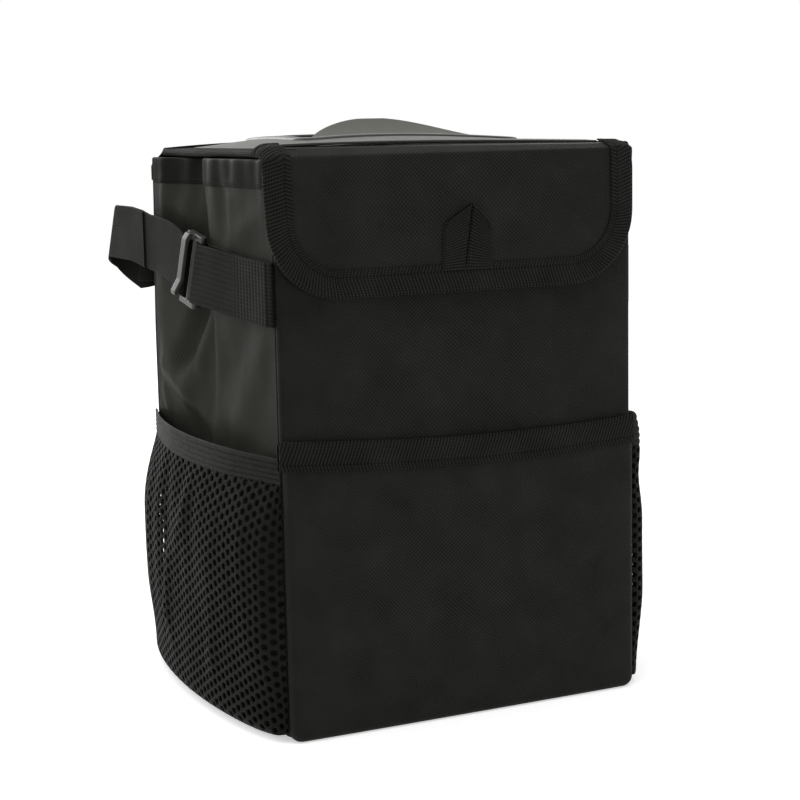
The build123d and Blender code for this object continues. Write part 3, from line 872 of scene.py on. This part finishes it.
def lid_top(x, y):
    """Height of the lid's upper face, which is crowned and a little higher at the left."""
    step = (2 * y - lid_front - lid_back) / (lid_back - lid_front)
    arch = (1 - min((x / lid_half) ** 2, 1)) * (1 - lid_skew * x / lid_half)
    return lid_face + lid_rise * (1 - lid_arch * min(step * step, 1)) * arch


def drawn_in(x, y):
    """Place across the lid after its cloth has drawn in towards the hinge."""
    return x * (1 - lid_taper / lid_half * smooth(lid_front, lid_back, y))


def frame_spot(share, half, corner, centre_y=0.0):
    """Point on a round-cornered outline, with matched places for outlines of any size."""
    turn, along = divmod(share * 4, 1)
    turn = int(turn) % 4
    width, depth = (half[0], half[1]) if turn % 2 == 0 else (half[1], half[0])
    if along < 0.75:
        x, y = width, (depth - corner) * (2 * along / 0.75 - 1)
    else:
        bend = (along - 0.75) / 0.25 * math.pi / 2
        x, y = width - corner + corner * math.cos(bend), depth - corner + corner * math.sin(bend)
    for _ in range(turn):
        x, y = -y, x
    return x, y + centre_y


def lid_place(u, v):
    wide = (lid_half, (lid_back - lid_front) / 2)
    outer = frame_spot(u, wide, lid_corner, (lid_front + lid_back) / 2)
    inner = frame_spot(u, mouth_half, mouth_corner)
    x, y = (outer[k] + (inner[k] - outer[k]) * v for k in (0, 1))
    return drawn_in(x, y), y, lid_top(x, y) - lid_edge_drop * (1 - round_edge(v * 0.04, 0.002))


lid = cloth("lid_board", 192, 24, lid_place, (0.744, 0.045), lid_thick)
for loop, corner in zip(lid.data.loops, lid.data.uv_layers.active.data):
    corner.uv = lid.data.vertices[loop.vertex_index].co.xy
lid_cloth = fabric(
    "black_lid_cloth", lid_dark, lid_light, plain_weave(weave_pitch),
    depth=0.00008, roughness=0.42, specular=0.23, sheen=0.16,
)
dress(lid, lid_cloth, "board_cloth", "lid", "lid_panel")

# Lid bindings: the same herringbone tape folded over the lid's left and right edges.
# It follows the lid from its front fold to the hinge.
lid_tape_low, lid_tape_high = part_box("left_lid_binding")
lid_tape_width = lid_tape_high.x - lid_tape_low.x
lid_tape_length = lid_tape_high.y - lid_tape_low.y
lid_tape_edge = -lid_tape_low.x
lid_tape_half = lid_thick / 2 + 0.0006
lid_tape_round = 2 * lid_tape_width + lid_tape_half
lid_tape_fold = [(lid_tape_edge - lid_tape_width, lid_tape_half)]
lid_tape_fold += arc((lid_tape_edge - lid_tape_half, 0), lid_tape_half, 90, -90)
lid_tape_fold += [(lid_tape_edge - lid_tape_width, -lid_tape_half)]

for side_name, side in sides.items():
    def lid_tape_place(u, v):
        y = lid_tape_low.y + lid_tape_length * (u if side < 0 else 1 - u)
        x, z = along_points(lid_tape_fold, v)
        crown = lid_top(min(x, lid_half), y) - lid_face
        return side * drawn_in(x, y), y, lid_face - lid_thick / 2 + z + crown
    lid_tape_size = (lid_tape_length, lid_tape_round)
    lid_tape = cloth(side_name + "_lid_tape", 140, 28, lid_tape_place, lid_tape_size, tape_layer)
    dress(lid_tape, binding_tape, "binding_tape", "lid", side_name + "_lid_binding")

# Mouth rim: a narrow black moulded edge welded round the mouth, with a rounded top.
# It grips the lid's cloth from above and inside.
rim_wide = 0.005
rim_high = 0.0011
rim_deep = 0.0022
rim_inside = 0.0005
plastic_colour = (0.012, 0.012, 0.0115)
marks_scale = 90


def rim_place(u, v):
    turn = 2 * math.pi * v
    width = rim_wide / 2 + rim_inside / 2
    offset = rim_wide / 2 - rim_inside / 2 + width * math.cos(turn)
    x, y = frame_spot(u, (mouth_half[0] + offset, mouth_half[1] + offset), mouth_corner + offset)
    lift = rim_high * max(math.sin(turn), 0) ** 0.6 - rim_deep * max(-math.sin(turn), 0) ** 0.5
    return drawn_in(x, y), y, lid_top(x, y) + lift


def satin(name, colour, roughness, specular, grain, depth):
    """Moulded finish: one colour with a fine grain and faint handling marks."""
    made, tree, shader = new_finish(name, {"Base Color": (*colour, 1), "Specular IOR Level": specular})
    places = tree.nodes.new("ShaderNodeTexCoord")
    marks = mottle(tree, places, marks_scale, 5)
    tree.links.new(scaled(tree, marks, 0.2, roughness - 0.1), shader.inputs["Roughness"])
    emboss(tree, shader, mottle(tree, places, 1 / grain, 3), depth)
    return made


fitting_plastic = satin(
    "black_fitting_plastic", plastic_colour, roughness=0.32, specular=0.45, grain=0.0006, depth=0.00004
)
rim = cloth("mouth_rim_edge", 192, 20, rim_place, (0.42, 0.012))
close_up(rim)
dress(rim, fitting_plastic, "fitting_plastic", "lid", "mouth_rim")

# Mouth lips: soft olive-grey rubber sheets that close the mouth and give way to a hand.
# The front one is a half-round tongue that curls up, the rear one a plain strip.
lip_root = -0.0409
lip_level = 0.2824
lip_radius = 0.0505
lip_reach = 0.050
lip_curl = 0.087
lip_curl_start = 0.008
lip_layer = 0.0016
lip_soft = 0.0005
rubber_colour = (0.079, 0.081, 0.067)
rear_low, rear_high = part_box("rear_lip")
rear_corner = 0.008
rear_root = rear_high.y


def tongue_place(u, v):
    turn = math.pi * u
    x = -lip_radius * v * math.cos(turn)
    y = lip_root + min(lip_radius * v * math.sin(turn), lip_reach)
    bow = y - lip_root - lip_curl_start
    return x, y, lip_level + lip_curl - math.sqrt(lip_curl ** 2 - bow ** 2)


def rear_lip_place(u, v):
    across, rise, edge, top = panel_spot(u, v, rear_high.x - rear_low.x, rear_root - rear_low.y, rear_corner)
    return across, rear_low.y + rise, rear_high.z


def soften(piece, width):
    """Rounds the sharp edges of a closed piece."""
    modify(piece, "BEVEL", width=width, segments=3, limit_method="ANGLE", angle_limit=sharp_angle)
    close_up(piece)


lip_rubber = satin(
    "olive_lip_rubber", rubber_colour, roughness=0.62, specular=0.35, grain=0.0004, depth=0.00003
)
tongue = cloth("front_lip_rubber", 64, 30, tongue_place, (0.16, 0.052))
modify(tongue, "SOLIDIFY", thickness=lip_layer, offset=0)
close_up(tongue)
soften(tongue, lip_soft)
dress(tongue, lip_rubber, "lip_rubber", "front_lip", "front_lip")
tongue.parent = None
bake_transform(tongue)
rear_lip = cloth("rear_lip_rubber", 40, 14, rear_lip_place, (0.1, 0.025), lip_layer)
soften(rear_lip, lip_soft)
dress(rear_lip, lip_rubber, "lip_rubber", "rear_lip", "rear_lip")
rear_lip.parent = None
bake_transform(rear_lip)

# Flap: the lid's front cloth runs on over a soft fold and hangs down the front over a thin board.
# The fold is fuller at the left, the edges curl back round the bin,
# and the lower corners are wide round ones.
# Where a size is a pair, it holds for the left and the right edge.
flap_front = -0.09825
flap_left, flap_right = -0.1008, 0.0925
flap_middle = (flap_left + flap_right) / 2
flap_width = flap_right - flap_left
flap_bottom = 0.2120
flap_corner = 0.036
flap_top = (0.2810, 0.2791)
flap_fall = (0.0062, 0.0028)
flap_depth = (0.0095, 0.0065)
flap_curl = (0.0070, 0.0030)
flap_curl_radius = (0.0075, 0.0060)
flap_flare = 0.0009
flap_rounding = 0.0006
flap_crown = 0.0009
flap_slack = 0.0003
flap_layer = 0.0010
flap_drop = 0.0635
flap_turn = 0.0105
flap_length = flap_drop + flap_turn + 0.0060
fold_count = 60
fold_turns = [
    90 - 58 * smooth(0, 0.22, k / fold_count) - 32 * smooth(0.7, 1, k / fold_count) for k in range(fold_count)
]
fold_run = np.concatenate([[0], np.cumsum(np.cos(np.radians(fold_turns)))])
fold_climb = np.concatenate([[0], np.cumsum(np.sin(np.radians(fold_turns)))])
lining_thick = 0.0016
lining_mid = flap_front + flap_layer + 0.0001 + lining_thick / 2
lining_inset = 0.0075
lining_raise = 0.001


def flap_point(across, rise, out):
    """Point of the flap's cloth from its place across, up from the lower edge over the fold, and outwards."""
    share = clamp(across / flap_width + 0.5)
    top, fall, depth = (low + (high - low) * share for low, high in (flap_top, flap_fall, flap_depth))
    side = 0 if across < 0 else 1
    flat = flap_width / 2 - flap_curl[side]
    if abs(across) > flat:
        turned = (abs(across) - flat) / flap_curl_radius[side]
        reach = flap_curl_radius[side] + out
        across = math.copysign(flat + reach * math.sin(turned), across)
        out = reach * math.cos(turned) - flap_curl_radius[side]
    flare = flap_flare * (1 - share) ** 4 * smooth(0.5, 0.85, rise / flap_drop)
    rounded = flap_rounding * share ** 12 * smooth(flap_drop - 0.010, flap_drop + flap_turn, rise)
    x = flap_middle + across - flare - rounded
    if rise <= flap_drop:
        return x, flap_front - out, flap_bottom + rise / flap_drop * (top - fall - flap_bottom)
    if rise <= flap_drop + flap_turn:
        step = (rise - flap_drop) / flap_turn * fold_count
        marks = range(fold_count + 1)
        run, climb = (np.interp(step, marks, path) / path[-1] for path in (fold_run, fold_climb))
        angle = math.radians(np.interp(step, range(fold_count), fold_turns))
        slope = math.atan2(fall * math.sin(angle) / fold_climb[-1], depth * math.cos(angle) / fold_run[-1])
        y, z = flap_front + depth * run, top - fall + fall * climb
        return x, y - out * math.sin(slope), z + out * math.cos(slope)
    back = rise - flap_drop - flap_turn
    y = flap_front + depth + back
    return x, y, top + out + (lid_top(x, y) - lid_face) * smooth(0, 0.012, back)


def flap_place(u, v):
    across, rise, edge, top = panel_spot(u, v, flap_width, flap_length, flap_corner)
    hang = math.sin(math.pi * min(rise / flap_drop, 1))
    swell = flap_crown * math.sin(math.pi * u) * hang
    slack = flap_slack * noise.noise((u * 6, v * 5, 3.1)) * hang
    return flap_point(across, rise, swell + slack)


flap = cloth("flap_cloth", 72, 84, flap_place, (flap_width, flap_length), flap_layer)
dress(flap, board_cloth, "board_cloth", "flap", "flap_panel")
flap.parent = None
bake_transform(flap)
flap_lining = padded_board(
    "flap_lining", flap_width - 2 * lining_inset, flap_drop - 0.004, lining_thick, flap_corner - 0.006, 0.0,
    lambda across, rise, out: (flap_middle + across, lining_mid - out, flap_bottom + lining_raise + rise),
)
dress(flap_lining, board_cloth, "board_cloth", "flap")

# Flap binding: herringbone tape folded over the flap's edge, from the lid over the fold and right round.
# It is sewn through near its inner edge, and hugs the thin cloth where the flap folds.
bind_width = 0.0121
bind_stand = 0.0006
bind_back = 0.0032
bind_fold_back = 0.0013
bind_reach = 0.0006
bind_shoulder = 0.001
bind_pucker = 0.0001
bind_stitch = 0.0032
bind_tuck = 0.0008
bind_top = flap_length - 0.0006
bind_side = bind_top - flap_corner
bind_bend = math.pi / 2 * flap_corner
bind_base = flap_width - 2 * flap_corner
bind_length = 2 * bind_side + 2 * bind_bend + bind_base
bind_wide = 2 * bind_width + bind_back


def flap_outline(share):
    """Place across and up on the flap's edge, and the way in from it, from the lid's left to its right."""
    half, corner = flap_width / 2, flap_corner
    reach = share * bind_length
    mirrored = reach > bind_length / 2
    if mirrored:
        reach = bind_length - reach
    if reach < bind_side:
        spot, inward = (-half, bind_top - reach), (1, 0)
    elif reach < bind_side + bind_bend:
        angle = math.pi + (reach - bind_side) / corner
        spot = (-half + corner + corner * math.cos(angle), corner + corner * math.sin(angle))
        inward = (-math.cos(angle), -math.sin(angle))
    else:
        spot, inward = (-half + corner + reach - bind_side - bind_bend, 0), (0, 1)
    side = -1 if mirrored else 1
    return (side * spot[0], spot[1]), (side * inward[0], inward[1])


def bind_section(share, back):
    """Distance in from the flap's edge and outwards from its cloth, across the folded tape."""
    middle, half = (bind_stand - back) / 2, (bind_stand + back) / 2
    points = [(bind_width, bind_stand), (bind_shoulder, bind_stand)]
    points += [(-bind_reach * math.sin(t), middle + half * math.cos(t)) for t in np.linspace(0, math.pi, 9)]
    points += [(bind_shoulder, -back), (bind_width, -back)]
    return along_points(points, share)


def bind_place(u, v):
    (across, rise), inward = flap_outline(u)
    flat = smooth(flap_drop - 0.010, flap_drop + 0.001, rise)
    inset, out = bind_section(v, bind_back + (bind_fold_back - bind_back) * flat)
    pucker = bind_pucker * math.sin(2 * math.pi * u * bind_length / bind_stitch) if inset > 0.009 else 0
    tuck = bind_tuck * smooth(0.984, 0.990, abs(2 * u - 1)) if out > 0 else 0
    return flap_point(across + inward[0] * inset, rise + inward[1] * inset, out + pucker + tuck)


flap_binding = cloth("flap_tape", 320, 26, bind_place, (bind_length, bind_wide), tape_layer)
close_up(flap_binding)
dress(flap_binding, binding_tape, "binding_tape", "flap", "flap_binding")
flap_binding.parent = None
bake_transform(flap_binding)

# Lid front hem: the lid's cloth is turned under along its front edge and sewn down over the flap's rear edge.
# Its front edge stands a millimetre above the fold, so a dark line shows there.
lid_hem_left, lid_hem_right = -0.0888, 0.0800
lid_hem_front, lid_hem_back = -0.0866, -0.0760
lid_hem_size = (lid_hem_right - lid_hem_left, lid_hem_back - lid_hem_front)
lid_hem_layer = 0.0012
lid_hem_gap = 0.0001
lid_hem_soft = 0.0004


def lid_hem_place(u, v):
    x = lid_hem_left + u * lid_hem_size[0]
    y = lid_hem_front + v * lid_hem_size[1]
    share = (x - flap_left) / flap_width
    down = lid_top(x, y)
    over = flap_top[0] + (flap_top[1] - flap_top[0]) * share + down - lid_face
    return x, y, over + (down - over) * smooth(0.4, 1, v) + lid_hem_layer + lid_hem_gap


lid_hem = cloth("lid_front_hem", 90, 12, lid_hem_place, lid_hem_size, lid_hem_layer)
soften(lid_hem, lid_hem_soft)
dress(lid_hem, lid_cloth, "board_cloth", "lid")

# Pull tab: a loop of ribbed tape folded to a point, so that it lies as two legs with a slit between them.
# Its lower ends are caught under the flap's binding. Each leg has four corners and a lift off the flap.
tab_layer = 0.0014
tab_rib = 0.0014
tab_depth = 0.0004
tab_front = -0.09845 - 0.8 * flap_crown
tab_stand = 0.0012
tab_tip_lift = 0.0008
tab_edges = (0.0012, 0.0014)
tab_left_pull = 0.0022
tab_right_pull = 0.0014
tab_right_bow = 0.0016
tab_leg_size = (0.0125, 0.028)
tab_legs = {
    "tab_left_leg": ((-0.0137, 0.2215), (-0.0016, 0.2215), (0.0024, 0.2531), (-0.0132, 0.2443), 0.0009),
    "tab_right_leg": ((-0.0012, 0.2215), (0.0130, 0.2215), (0.0130, 0.2413), (0.0027, 0.2528), 0.0005),
}


def cross_ribs(tree, u, v):
    """Ribs across a tape with a finer thread along it."""
    bars = scaled(tree, wave(tree, v, tab_rib), 0.36, 0.5)
    return scaled(tree, wave(tree, u, 0.9 * tab_rib), 0.12, bars)


tab_tape = fabric(
    "black_tab_tape", tape_dark, tape_light, cross_ribs,
    depth=tab_depth, roughness=0.66, specular=0.04, sheen=0.02,
)
for leg_name, (low_left, low_right, high_right, high_left, stand) in tab_legs.items():
    def leg_place(u, v):
        low = [a + (b - a) * u for a, b in zip(low_left, low_right)]
        high = [a + (b - a) * u for a, b in zip(high_left, high_right)]
        x, z = (low[k] + (high[k] - low[k]) * v for k in (0, 1))
        edge = round_edge(min(u, 1 - u) * tab_leg_size[0], tab_edges[0])
        edge *= round_edge((1 - v) * 0.025, tab_edges[1])
        if leg_name == "tab_left_leg":
            x += tab_left_pull * (1 - u) ** 3 * v ** 14
        else:
            x -= tab_right_pull * u ** 3 * v ** 12
            z += tab_right_bow * math.sin(math.pi * u) * v ** 6
        lift = stand * smooth(0.1, 0.9, v) + tab_tip_lift * math.exp(-(((1 - v) / 0.07) ** 2))
        return x, tab_front - (tab_stand + lift) * edge, z
    leg = cloth(leg_name, 26, 44, leg_place, tab_leg_size, tab_layer)
    dress(leg, tab_tape, "binding_tape", "flap", *["pull_tab"] * (leg_name == "tab_left_leg"))

# Hook and loop patches: two black strips that hold the flap down, one on the panel and one inside the flap.
# They are sewn on flat and have a short pile.
patch_layer = 0.0011
patch_size = (0.12, 0.02)
patch_gap = 0.00005
patch_soft = 0.0003
pile_dark = (0.0040, 0.0040, 0.0040)
pile_light = (0.0200, 0.0200, 0.0195)
pile_pitch = (0.00120831, 0.00133685)
pile_finish = fabric(
    "black_hook_and_loop", pile_dark, pile_light, dots(*pile_pitch, 0.5, 0.5),
    depth=0.0005, roughness=0.85, specular=0.15, sheen=0.3,
)
for node, body, facing, under in (
    ("loop_patch", "bin", -1, "front_board"),
    ("hook_patch", "flap", 1, "flap_lining"),
):
    patch_low, patch_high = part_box(node)
    patch_y = (patch_low.y if facing < 0 else patch_high.y) - facing * patch_gap

    def patch_place(u, v):
        x = patch_low.x + (u if facing < 0 else 1 - u) * (patch_high.x - patch_low.x)
        return x, patch_y, patch_low.z + v * (patch_high.z - patch_low.z)
    patch = cloth(node + "_strip", 30, 8, patch_place, patch_size, patch_layer)
    soften(patch, patch_soft)
    dress(patch, pile_finish, "hook_and_loop", body, node)

# Lid hinge: a strip of the binding tape sewn to the top of the back panel and over the lid's rear edge.
hinge_size = (0.187, 0.031)
hinge_gap = 0.0002
hinge_bend = 0.0053
hinge_path = [(0.09325, 0.2630), (0.09325, 0.2745)]
hinge_path += arc((0.0880, 0.2750), hinge_bend, 0, 90, 8)
hinge_path += [(0.0780, 0.2806)]


def hinge_place(u, v):
    y, z = along_points(hinge_path, v)
    x = hinge_size[0] / 2 * (1 - 2 * u)
    lift = max(lid_top(x, y) - lid_face, 0) * smooth(0.2765, 0.2800, z)
    return x + (drawn_in(x, lid_back) - x) * smooth(0.2700, 0.2790, z), y, z + lift + hinge_gap


hinge = cloth("hinge_strip", 96, 30, hinge_place, hinge_size, tape_layer)
dress(hinge, binding_tape, "binding_tape", "bin", "hinge_tape")
hinge.parent = None
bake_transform(hinge)

# Straps: 30 mm black webbing. A doubled, quilted length from the left front seam holds the clip.
# The left strap goes from the clip to the buckle's plug and the right one from its seam to the socket.
# A short loose end of the left strap lies on its outside, towards the rear.
web_half = 0.015
web_thick = 0.0015
web_edge = 0.0007
wrap = 0.00265
layer_x = 0.09655
seam_y = -0.0918
root_z, clip_z, back_z, buckle_z = 0.21375, 0.21585, 0.23385, 0.21885
clip_front, clip_rear = 0.006, 0.024
clip_middle = (clip_front + clip_rear) / 2
corner_x, corner_y, corner_bend = 0.096, 0.138, 0.007
across_y = corner_y + corner_bend
bar_y = across_y - wrap
plug_bar, socket_bar = -0.066, -0.006
strap_tail = 0.020
clip_lean = math.radians(18)
clip_lift = 0.0040
clip_ahead = 0.0055
clip_tilt = 0.07
clip_press = 0.4
clip_hold = ((-0.060, 0.002), (0.030, 0.075))
clip_swing = 0.012
clip_drop = 0.036
clip_layers = (-0.0968, -0.0985)
tongue_x = -0.1035
pulled_x = -0.075
corner_lean = 0.58
corner_hold = ((0.112, 0.138), (-0.094, -0.078))
sag_z = 0.2268
left_rise = (
    (-0.1019, 0.036, 0.2200),
    (-0.1020, 0.050, 0.2252),
    (-0.1021, 0.063, 0.2292),
    (-0.1023, 0.084, 0.2325),
    (-0.1026, 0.102, back_z),
    (-corner_x - corner_bend, corner_y, back_z),
)
web_dark = (0.0030, 0.0030, 0.0026)
web_light = (0.0116, 0.0118, 0.0100)
quilt_light = (0.0160, 0.0162, 0.0137)
quilt_end = 0.052
quilt_fade = 0.014
quilt_row, quilt_column, quilt_thread = 0.0052, 0.0080, 0.0017
web_row, web_thread = 0.0030, 0.0010


def straight(start, end, step=0.003):
    """Points along a straight line between two places."""
    count = max(2, round((Vector(end) - Vector(start)).length / step))
    return [tuple(Vector(start).lerp(Vector(end), k / count)) for k in range(count + 1)]


def onwards(line, *places):
    """Line that goes on straight to each place in turn."""
    for place in places:
        line = line + straight(line[-1], place)
    return line


def bend(centre, radius, start, end, low, high, steps=12):
    """Points of a turn about an upright axis that may climb."""
    turn = arc(centre, radius, start, end, steps)
    return [(x, y, low + (high - low) * k / steps) for k, (x, y) in enumerate(turn)]


def leaned(x, y, z):
    """Place after the pull on the left strap: the clip leans forwards and up, the rear turn back."""
    if x > pulled_x:
        return x, y, z
    near = smooth(*clip_hold[0], y) * (1 - smooth(*clip_hold[1], y))
    back = clamp(y - clip_middle, -clip_swing, clip_swing)
    lean = math.sin(clip_lean) * near
    turned = corner_lean * smooth(*corner_hold[0], y) * (1 - smooth(*corner_hold[1], x))
    tilted = clip_tilt * near * clamp(clip_z + web_half - z, 0, clip_drop) * smooth(*clip_layers, x)
    pressed = clip_press * near * max(tongue_x - x, 0)
    y -= lean * (z - clip_z) + clip_ahead * near + turned * (z - back_z)
    return x - tilted + pressed, y, z + 0.5 * lean * back + clip_lift * near


def webbing(name, line):
    """Closed length of webbing along a line, standing on edge, with round edges; its length comes with it."""
    spaced = [line[0]]
    for spot in line[1:]:
        if (Vector(spot) - Vector(spaced[-1])).length > 0.0002:
            spaced.append(spot)
    points = np.array(spaced)
    ways = np.gradient(points[:, :2], axis=0)
    ways /= np.linalg.norm(ways, axis=1)[:, None]
    steps = lengths(points)
    last = len(points) - 1
    half = web_half - web_edge
    squash = web_thick / 2 / web_edge
    section = [(web_thick / 2, -half + 2 * half * k / 20) for k in range(21)]
    section += [(out * squash, half + rise) for out, rise in arc((0, 0), web_edge, 0, 180, 6)[1:]]
    section += [(-web_thick / 2, half - 2 * half * k / 20) for k in range(1, 21)]
    section += [(out * squash, rise - half) for out, rise in arc((0, 0), web_edge, 180, 360, 6)[1:]]
    rounds = len(section) - 1

    def place(u, v):
        spot, way = points[round(u * last)], ways[round(u * last)]
        out, rise = section[round(v * rounds)]
        return leaned(spot[0] + way[1] * out, spot[1] - way[0] * out, spot[2] + rise)
    piece = cloth(
        name, last, rounds, place,
        (lambda u: steps[round(u * last)], lambda v: section[round(v * rounds)][1] + web_half),
    )
    pick(piece)
    bpy.ops.object.mode_set(mode="EDIT")
    bpy.ops.mesh.select_all(action="SELECT")
    bpy.ops.mesh.fill_holes(sides=0)
    bpy.ops.object.mode_set(mode="OBJECT")
    close_up(piece)
    return piece, steps[-1]


def quilted(tree, u, v):
    """Webbing rows along its length, crossed by rows of stitching near the seam."""
    rows = number(tree, "ABSOLUTE", wave(tree, v, quilt_row))
    columns = number(tree, "ABSOLUTE", wave(tree, u, quilt_column))
    fading = scaled(tree, u, -1 / quilt_fade, quilt_end / quilt_fade)
    sewn = number(tree, "MINIMUM", number(tree, "MAXIMUM", fading, 0), 1)
    near = scaled(tree, wave(tree, v, quilt_thread), 0.3, number(tree, "MULTIPLY", columns, 0.55))
    far = scaled(tree, wave(tree, u, quilt_thread), 0.06, number(tree, "MULTIPLY", rows, 0.7))
    return scaled(tree, number(tree, "SUBTRACT", near, far), sewn, far)


def smooth_webbing(tree, u, v):
    """Plain webbing: fine cross threads in narrow rows."""
    rows = scaled(tree, number(tree, "ABSOLUTE", wave(tree, v, web_row)), 0.4, 0.3)
    return scaled(tree, wave(tree, u, web_thread), 0.22, rows)


def strap_round(bar, side):
    """Turn of the webbing round a buckle bar, from its outer layer to its tail."""
    turn = bend((bar, bar_y), wrap, 90, 90 - side * 180, buckle_z, buckle_z)
    return onwards(turn, (bar - side * strap_tail, bar_y - wrap, buckle_z))


quilted_webbing = fabric(
    "black_quilted_webbing", web_dark, quilt_light, quilted,
    depth=0.00050, roughness=0.66, specular=0.03, sheen=0.02,
)
plain_webbing = fabric(
    "black_strap_webbing", web_dark, web_light, smooth_webbing,
    depth=0.00022, roughness=0.66, specular=0.03, sheen=0.02,
)
doubled_x = -layer_x - web_thick - 0.00005
doubled_y = seam_y + 0.0055
stitched_y = seam_y + 0.040
clip_line = straight((-layer_x - 0.0001, seam_y, root_z), (doubled_x, doubled_y, root_z), 0.001)
clip_line = onwards(
    clip_line, (doubled_x, stitched_y, root_z + 0.0008), (-layer_x - 2 * wrap, clip_front, clip_z)
)
clip_line += bend((-layer_x - wrap, clip_front), wrap, 180, 0, clip_z, clip_z)
clip_line = onwards(clip_line, (-layer_x, seam_y + 0.0060, root_z))
left_line = straight((-layer_x, clip_rear + strap_tail, clip_z), (-layer_x, clip_rear, clip_z))
left_line += bend((-layer_x - wrap, clip_rear), wrap, 0, -180, clip_z, clip_z)
left_line = onwards(left_line, *left_rise)
left_line += bend((-corner_x, corner_y), corner_bend, 180, 90, back_z, sag_z)
left_line = onwards(left_line, (-0.0840, across_y, 0.2142), (plug_bar, across_y, buckle_z))
left_line += strap_round(plug_bar, 1)
right_line = straight((layer_x, -0.0884, root_z), (corner_x + corner_bend, corner_y, back_z))
right_line += bend((corner_x, corner_y), corner_bend, 0, 90, back_z, back_z)
right_line = onwards(right_line, (socket_bar, across_y, buckle_z))
right_line += strap_round(socket_bar, -1)
end_line = straight((-0.1033, 0.0790, 0.2318), (-0.1035, 0.1010, back_z))
for strap_name, line, finish, under in (
    ("clip_webbing", clip_line, quilted_webbing, "left_side_cloth"),
    ("left_strap", left_line, plain_webbing, "left_side_cloth"),
    ("right_strap", right_line, plain_webbing, "right_side_cloth"),
    ("strap_end", end_line, plain_webbing, "left_strap_cloth"),
):
    strap, strap_length = webbing(strap_name + "_cloth", line)
    dress(strap, finish, "webbing", "bin", *[strap_name] * (strap_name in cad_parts))
    if strap_name in ("left_strap", "strap_end"):
        strap.parent = None
        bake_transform(strap)

# Strap clip: a glossy black nylon ladder clip between the two lengths of webbing, with a springy tongue.
# It is one moulding, so all its edges are softly round.
clip_voxel = 0.00035
clip_colour = (0.032, 0.033, 0.028)


def moulded(name, node, body, finish, voxel, place=None):
    """Smooth moulding in the shape of a solid part, with each point moved by place where that is given."""
    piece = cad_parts[node].copy()
    piece.data = piece.data.copy()
    bpy.context.scene.collection.objects.link(piece)
    piece.parent = None
    for key in list(piece.keys()):
        del piece[key]
    piece.name = piece.data.name = name
    close_up(piece)
    modify(piece, "REMESH", mode="VOXEL", voxel_size=voxel)
    modify(piece, "SMOOTH", factor=0.5, iterations=6)
    for vertex in piece.data.vertices if place else ():
        vertex.co = place(*vertex.co)
    close_up(piece)
    dress(piece, finish, "fitting_plastic", body, node)


clip_plastic = satin(
    "glossy_clip_plastic", clip_colour, roughness=0.40, specular=0.32, grain=0.0008, depth=0.00003
)
moulded("strap_clip_moulding", "strap_clip", "bin", clip_plastic, clip_voxel, leaned)

# Buckle: a black nylon side-release buckle behind the bin that joins the two straps.
# The plug's prongs snap into the socket's side windows.
buckle_voxel = 0.0006
moulded("buckle_socket_moulding", "buckle_socket", "bin", fitting_plastic, buckle_voxel)
moulded("buckle_plug_moulding", "buckle_plug", "plug", fitting_plastic, buckle_voxel)

# Stitching: black thread rows that hold the tapes and hems, a little glossier than the cloth.
# The stitches are about 2.3 mm long.
thread_colour = (0.010, 0.010, 0.009)
stitch_pitch = 0.0032
stitch_half = 0.00115
stitch_round = 0.00026
stitch_ahead = 0.0006
pocket_row_rise = 0.0016
pocket_row_ends = 0.004
hem_row_z = hem_base + 0.0022
hem_row_reach = side_reach - 0.002
flap_row_inset = 0.0096
flap_row_out = bind_stand + 0.00005
thread = satin("black_thread", thread_colour, roughness=0.65, specular=0.06, grain=0.0003, depth=0.00005)


def stitch_row(name, body, line):
    """Row of stitches along a line of places."""
    bpy.ops.object.select_all(action="DESELECT")
    bpy.ops.mesh.primitive_uv_sphere_add(segments=6, ring_count=4, radius=1)
    piece = bpy.context.object
    piece.name = piece.data.name = name
    size = np.array((stitch_round, stitch_round, stitch_half))
    shape = [Vector(np.array(vertex.co) * size) for vertex in piece.data.vertices]
    facets = [tuple(face.vertices) for face in piece.data.polygons]
    total = lengths(line)[-1]
    spots, faces = [], []
    for k in range(int(total / stitch_pitch)):
        middle = (k + 0.5) * stitch_pitch
        here = Vector(along_points(line, middle / total))
        there = Vector(along_points(line, min((middle + stitch_ahead) / total, 1)))
        turn = (there - here).to_track_quat("Z", "Y").to_matrix()
        spots += [tuple(here + turn @ corner) for corner in shape]
        faces += [tuple(index + k * len(shape) for index in face) for face in facets]
    mesh = bpy.data.meshes.new(name)
    mesh.from_pydata(spots, [], faces)
    piece.data = mesh
    close_up(piece)
    dress(piece, thread, "binding_tape", body)


pocket_row = []
for k in range(61):
    x = tape_low.x + pocket_row_ends + (board_width - 2 * pocket_row_ends) * k / 60
    bow = board_crown * math.sin(math.pi * k / 60)
    pocket_row.append((x, tape_low.y - bow, sagged(x, tape_low.z + pocket_row_rise)))
stitch_row("pocket_stitches", "bin", pocket_row)
for side_name, side in sides.items():
    hem_row = []
    for k in range(121):
        y = (2 * k / 120 - 1) * hem_row_reach
        hem_row.append((side * (side_half + hem_stand - wall_inset(side, y, hem_row_z)), y, hem_row_z))
    stitch_row(side_name + "_hem_stitches", "bin", hem_row)
flap_row = []
for k in range(161):
    (across, rise), inward = flap_outline(0.12 + 0.76 * k / 160)
    spot = (across + inward[0] * flap_row_inset, rise + inward[1] * flap_row_inset)
    flap_row.append(flap_point(*spot, flap_row_out))
stitch_row("flap_stitches", "flap", flap_row)
